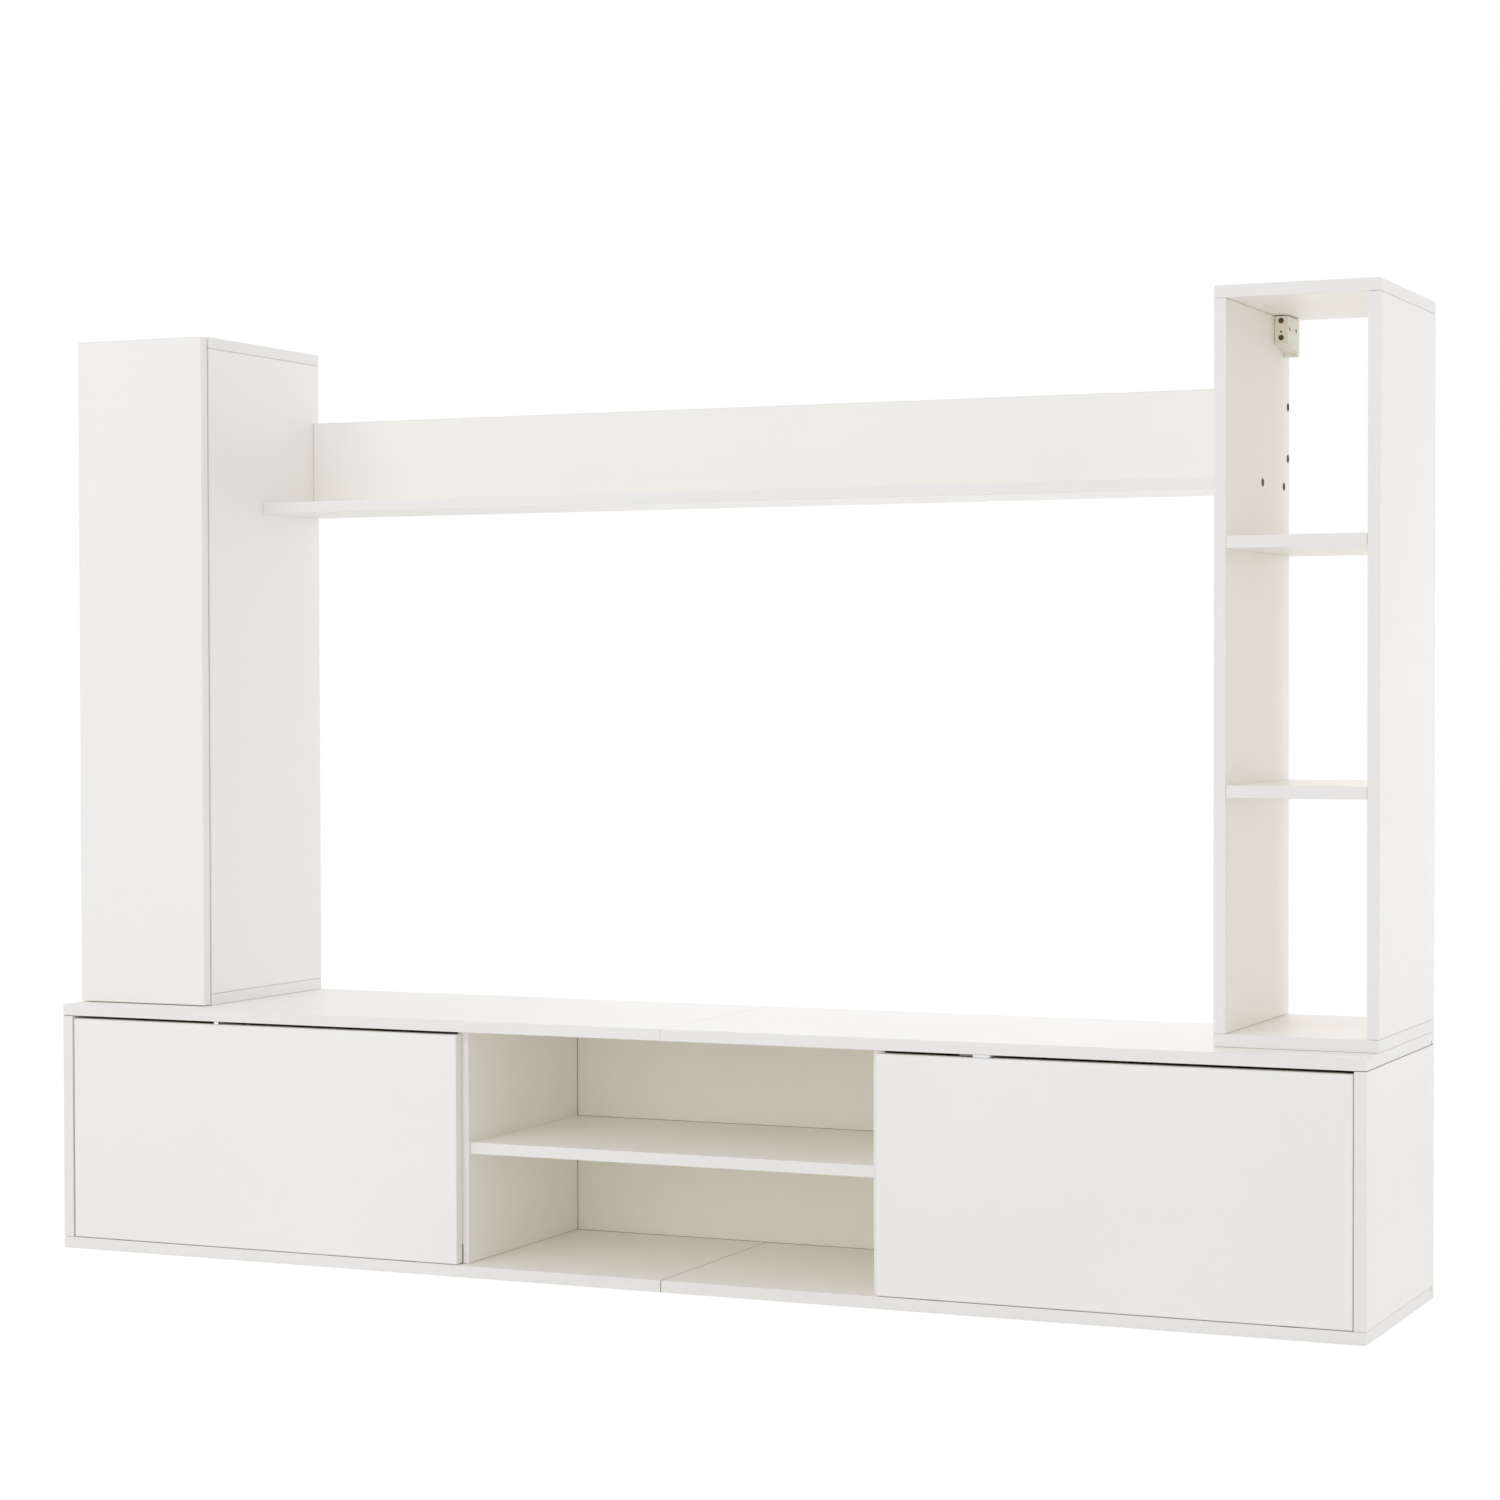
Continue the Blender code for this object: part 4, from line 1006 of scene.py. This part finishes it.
def grow(name, tree, spots, sizes, metal, body):
    """Runs a tree on marked spots, keeps its result as a plain mesh and rides it on a body."""
    mesh = bpy.data.meshes.new(name)
    mesh.from_pydata([spot[0] for spot in spots], [], [])
    mesh.attributes.new("aim", "FLOAT_VECTOR", "POINT")
    mesh.attributes.new("spin", "FLOAT", "POINT")
    for i, (_, aim, spin) in enumerate(spots):
        mesh.attributes["aim"].data[i].vector = aim
        mesh.attributes["spin"].data[i].value = math.radians(spin)
    piece = bpy.data.objects.new(name, mesh)
    bpy.context.scene.collection.objects.link(piece)
    modifier = piece.modifiers.new("Grown", "NODES")
    modifier.node_group = tree
    given = {**sizes, "Metal": metal}
    for item in tree.interface.items_tree:
        if item.in_out == "INPUT" and item.name in given:
            modifier[item.identifier] = given[item.name]
    bpy.context.view_layer.update()
    depsgraph = bpy.context.evaluated_depsgraph_get()
    grown = bpy.data.meshes.new_from_object(piece.evaluated_get(depsgraph))
    piece.modifiers.clear()
    split_faces(grown)
    piece.data = grown
    bpy.data.meshes.remove(mesh)
    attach(piece, body)


def turned(kind, off):
    """How far a screw is turned, in degrees, so that the cuts don't all line up."""
    start, more = TURNS[kind]
    return start + more * off


def bridge_bolt_spots():
    """Bolt heads on the towers' inner faces, behind the bridge's shelf and upright board."""
    shelf_low, shelf_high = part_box("bridge_shelf")
    back_low, back_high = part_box("bridge_back")
    y, z = middle("bridge_back", 1), middle("bridge_shelf", 2)
    places = [
        (y, back_low[2] + LOW_BOLT_RISE),
        (y, back_high[2] - BOLT_INSET),
        (shelf_low[1] + BOLT_INSET, z),
        (shelf_high[1] - BOLT_INSET, z),
    ]
    right_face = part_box("open_tower_side_left")[1][0]
    left_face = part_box("closed_tower_side_right")[0][0]
    spots = []
    for number, (y, z) in enumerate(places):
        spots.append(((right_face, y, z), RIGHT, turned("right bolt", number)))
        spots.append(((left_face, y, z), LEFT, turned("left bolt", number)))
    return spots


class UNIT_OT_bridge_bolts(bpy.types.Operator):
    """Puts in the dark bolts that hold the bridge between the towers"""

    bl_idname = "wall_unit.bridge_bolts"
    bl_label = "Bridge bolts"

    def execute(self, context):
        look = settings("unit_metal")
        metal = metal_finish(
            "dark_bolt", look.bolt_colour, roughness=0.5, stain=0.3, metallic=0.4
        )
        sizes = {
            "Head radius": look.bolt_radius,
            "Head height": 0.0008,
            "Shank radius": 0.0029,
            "Shank length": 0.014,
            "Cut width": 0.0012,
            "Cut length": 0.0062,
            "Cross cut length": 0.0062,
            "Cut depth": 0.0005,
            "Dome": 0.55,
        }
        grow("bridge_bolts", fastener_tree(), bridge_bolt_spots(), sizes, metal, "carcass")
        return {"FINISHED"}


def flap_screws(side, end):
    """The screws of one flap hinge: in its foot on the floor, and in its leaf on the front."""
    arm, leaf = f"flap_{side}_hinge_arm_{end}", f"flap_{side}_hinge_leaf_{end}"
    low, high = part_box(arm)
    x, y, z = middle(arm, 0), high[1] - FOOT_SCREW_INSET, low[2] + FOOT_THICKNESS
    in_foot = [
        ((x + shift, y, z), UP, turned("foot", shift))
        for shift in (-FOOT_SCREW_SPREAD, FOOT_SCREW_SPREAD)
    ]
    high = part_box(leaf)[1]
    in_leaf = [
        (
            (x, high[1], high[2] - LEAF_FACE_HEIGHT * (1 - share)),
            REARWARD,
            turned("leaf", share),
        )
        for share in LEAF_SCREW_SHARES
    ]
    return in_foot, in_leaf


def door_screws(level):
    """The screws of one door hinge: in its plate on the side, and in the cup's wings."""
    arm, cup = f"door_hinge_arm_{level}", f"door_hinge_cup_{level}"
    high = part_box(arm)[1]
    x, y, z = high[0] - PLATE_THICKNESS, high[1] - PLATE_SCREW_INSET, middle(arm, 2)
    in_plate = [
        ((x, y, z + shift), RIGHT, turned("plate", shift))
        for shift in (-PLATE_SCREW_SPREAD, PLATE_SCREW_SPREAD)
    ]
    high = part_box(cup)[1]
    in_cup = [
        ((high[0] - CUP_SCREW_INSET, high[1], z + shift), REARWARD, turned("cup", shift))
        for shift in (-CUP_SCREW_SPREAD, CUP_SCREW_SPREAD)
    ]
    return in_plate, in_cup


def latch_screws(name, thickness):
    """The two screws that hold a latch up under its board, through its flange or its holder."""
    low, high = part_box(name)
    x, y, z = middle(name, 0), high[1] - LATCH_SCREW_INSET, high[2] - thickness
    spread = (high[0] - low[0]) / 2 - LATCH_SCREW_EDGE
    return [((x + shift, y, z), DOWN, turned("latch", shift)) for shift in (-spread, spread)]


def joining_screws(name):
    """The row of screws through a joining plate."""
    low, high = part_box(name)
    x, y, length = middle(name, 0), middle(name, 1), high[0] - low[0]
    return [
        ((x + length * share, y, low[2]), DOWN, turned("joining", share))
        for share in JOINING_SCREW_SHARES
    ]


def hinge_screw_spots():
    """Screws by body: feet, plates and latches on the carcass, leaves and cups on the fronts."""
    spots = {"carcass": [], "left_drop_front": [], "right_drop_front": [], "door": []}
    for side in ("left", "right"):
        for end in ("outer", "inner"):
            in_foot, in_leaf = flap_screws(side, end)
            spots["carcass"] += in_foot
            spots[f"{side}_drop_front"] += in_leaf
    for level in ("lower", "upper"):
        in_plate, in_cup = door_screws(level)
        spots["carcass"] += in_plate
        spots["door"] += in_cup
    for name, thickness in LATCH_THICKNESS.items():
        spots["carcass"] += latch_screws(name, thickness)
    for name in ("top_joining_plate_front", "top_joining_plate_rear"):
        spots["carcass"] += joining_screws(name)
    return spots


class UNIT_OT_hinge_screws(bpy.types.Operator):
    """Puts in the screws of the hinges, the latches and the joining plates"""

    bl_idname = "wall_unit.hinge_screws"
    bl_label = "Hinge screws"

    def execute(self, context):
        look = settings("unit_metal")
        metal = metal_finish("bright_screw", look.plate_colour, roughness=0.3, stain=0.12)
        tree = fastener_tree()
        sizes = {
            "Head radius": look.screw_radius,
            "Head height": 0.0015,
            "Shank radius": 0.0015,
            "Shank length": 0.0012,
            "Cut width": 0.0008,
            "Cut length": 0.0036,
            "Cut depth": 0.0009,
            "Dome": 0.6,
        }
        for body, spots in hinge_screw_spots().items():
            grow(f"hinge_screws_{body}", tree, spots, sizes, metal, body)
        return {"FINISHED"}


def hanger_screw_spots():
    """Two screws in the front face of every hanger."""
    spots = []
    for name in nodes_of("white_plastic"):
        if "hanger" not in name:
            continue
        low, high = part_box(name)
        for number, drop in enumerate(HANGER_SCREW_DROPS):
            place = (middle(name, 0), low[1] + HANGER_SCREW_DEPTH, high[2] - drop)
            spots.append((place, FRONTWARD, turned("hanger", number)))
    return spots


class UNIT_OT_hanger_screws(bpy.types.Operator):
    """Puts the adjusting screws in the hangers"""

    bl_idname = "wall_unit.hanger_screws"
    bl_label = "Hanger screws"

    def execute(self, context):
        look = settings("unit_metal")
        metal = metal_finish("old_brass", look.brass_colour, roughness=0.36, stain=0.4)
        sizes = {
            "Head radius": 0.0033,
            "Head height": 0.0022,
            "Shank radius": 0.002,
            "Shank length": 0.0006,
            "Cut width": 0.0009,
            "Cut length": 0.0052,
            "Cross cut length": 0.0008,
            "Cut depth": 0.0013,
            "Dome": 0.35,
        }
        grow("hanger_screws", fastener_tree(), hanger_screw_spots(), sizes, metal, "carcass")
        return {"FINISHED"}


# Panel and registration

OPERATORS = (
    UNIT_OT_room,
    UNIT_OT_boards,
    UNIT_OT_lippings,
    UNIT_OT_backs,
    UNIT_OT_hardware,
    UNIT_OT_bridge_bolts,
    UNIT_OT_hinge_screws,
    UNIT_OT_hanger_screws,
)


class UNIT_PT_sidebar(bpy.types.Panel):
    """Lists the settings and the steps that make the wall unit"""

    bl_label = "Wall Unit"
    bl_idname = "UNIT_PT_sidebar"
    bl_space_type = "VIEW_3D"
    bl_region_type = "UI"
    bl_category = "Wall Unit"

    def draw(self, context):
        for name, group in SETTINGS:
            box = self.layout.box()
            for key in group.__annotations__:
                box.prop(getattr(context.scene, name), key)
        for operator in OPERATORS:
            self.layout.operator(operator.bl_idname)


def register():
    for name, group in SETTINGS:
        bpy.utils.register_class(group)
        setattr(bpy.types.Scene, name, PointerProperty(type=group))
    for operator in OPERATORS:
        bpy.utils.register_class(operator)
    bpy.utils.register_class(UNIT_PT_sidebar)


def unregister():
    bpy.utils.unregister_class(UNIT_PT_sidebar)
    for operator in reversed(OPERATORS):
        bpy.utils.unregister_class(operator)
    for name, group in reversed(SETTINGS):
        delattr(bpy.types.Scene, name)
        bpy.utils.unregister_class(group)


def main():
    register()
    for operator in OPERATORS:
        group, step = operator.bl_idname.split(".")
        getattr(getattr(bpy.ops, group), step)()


if __name__ == "__main__":
    main()
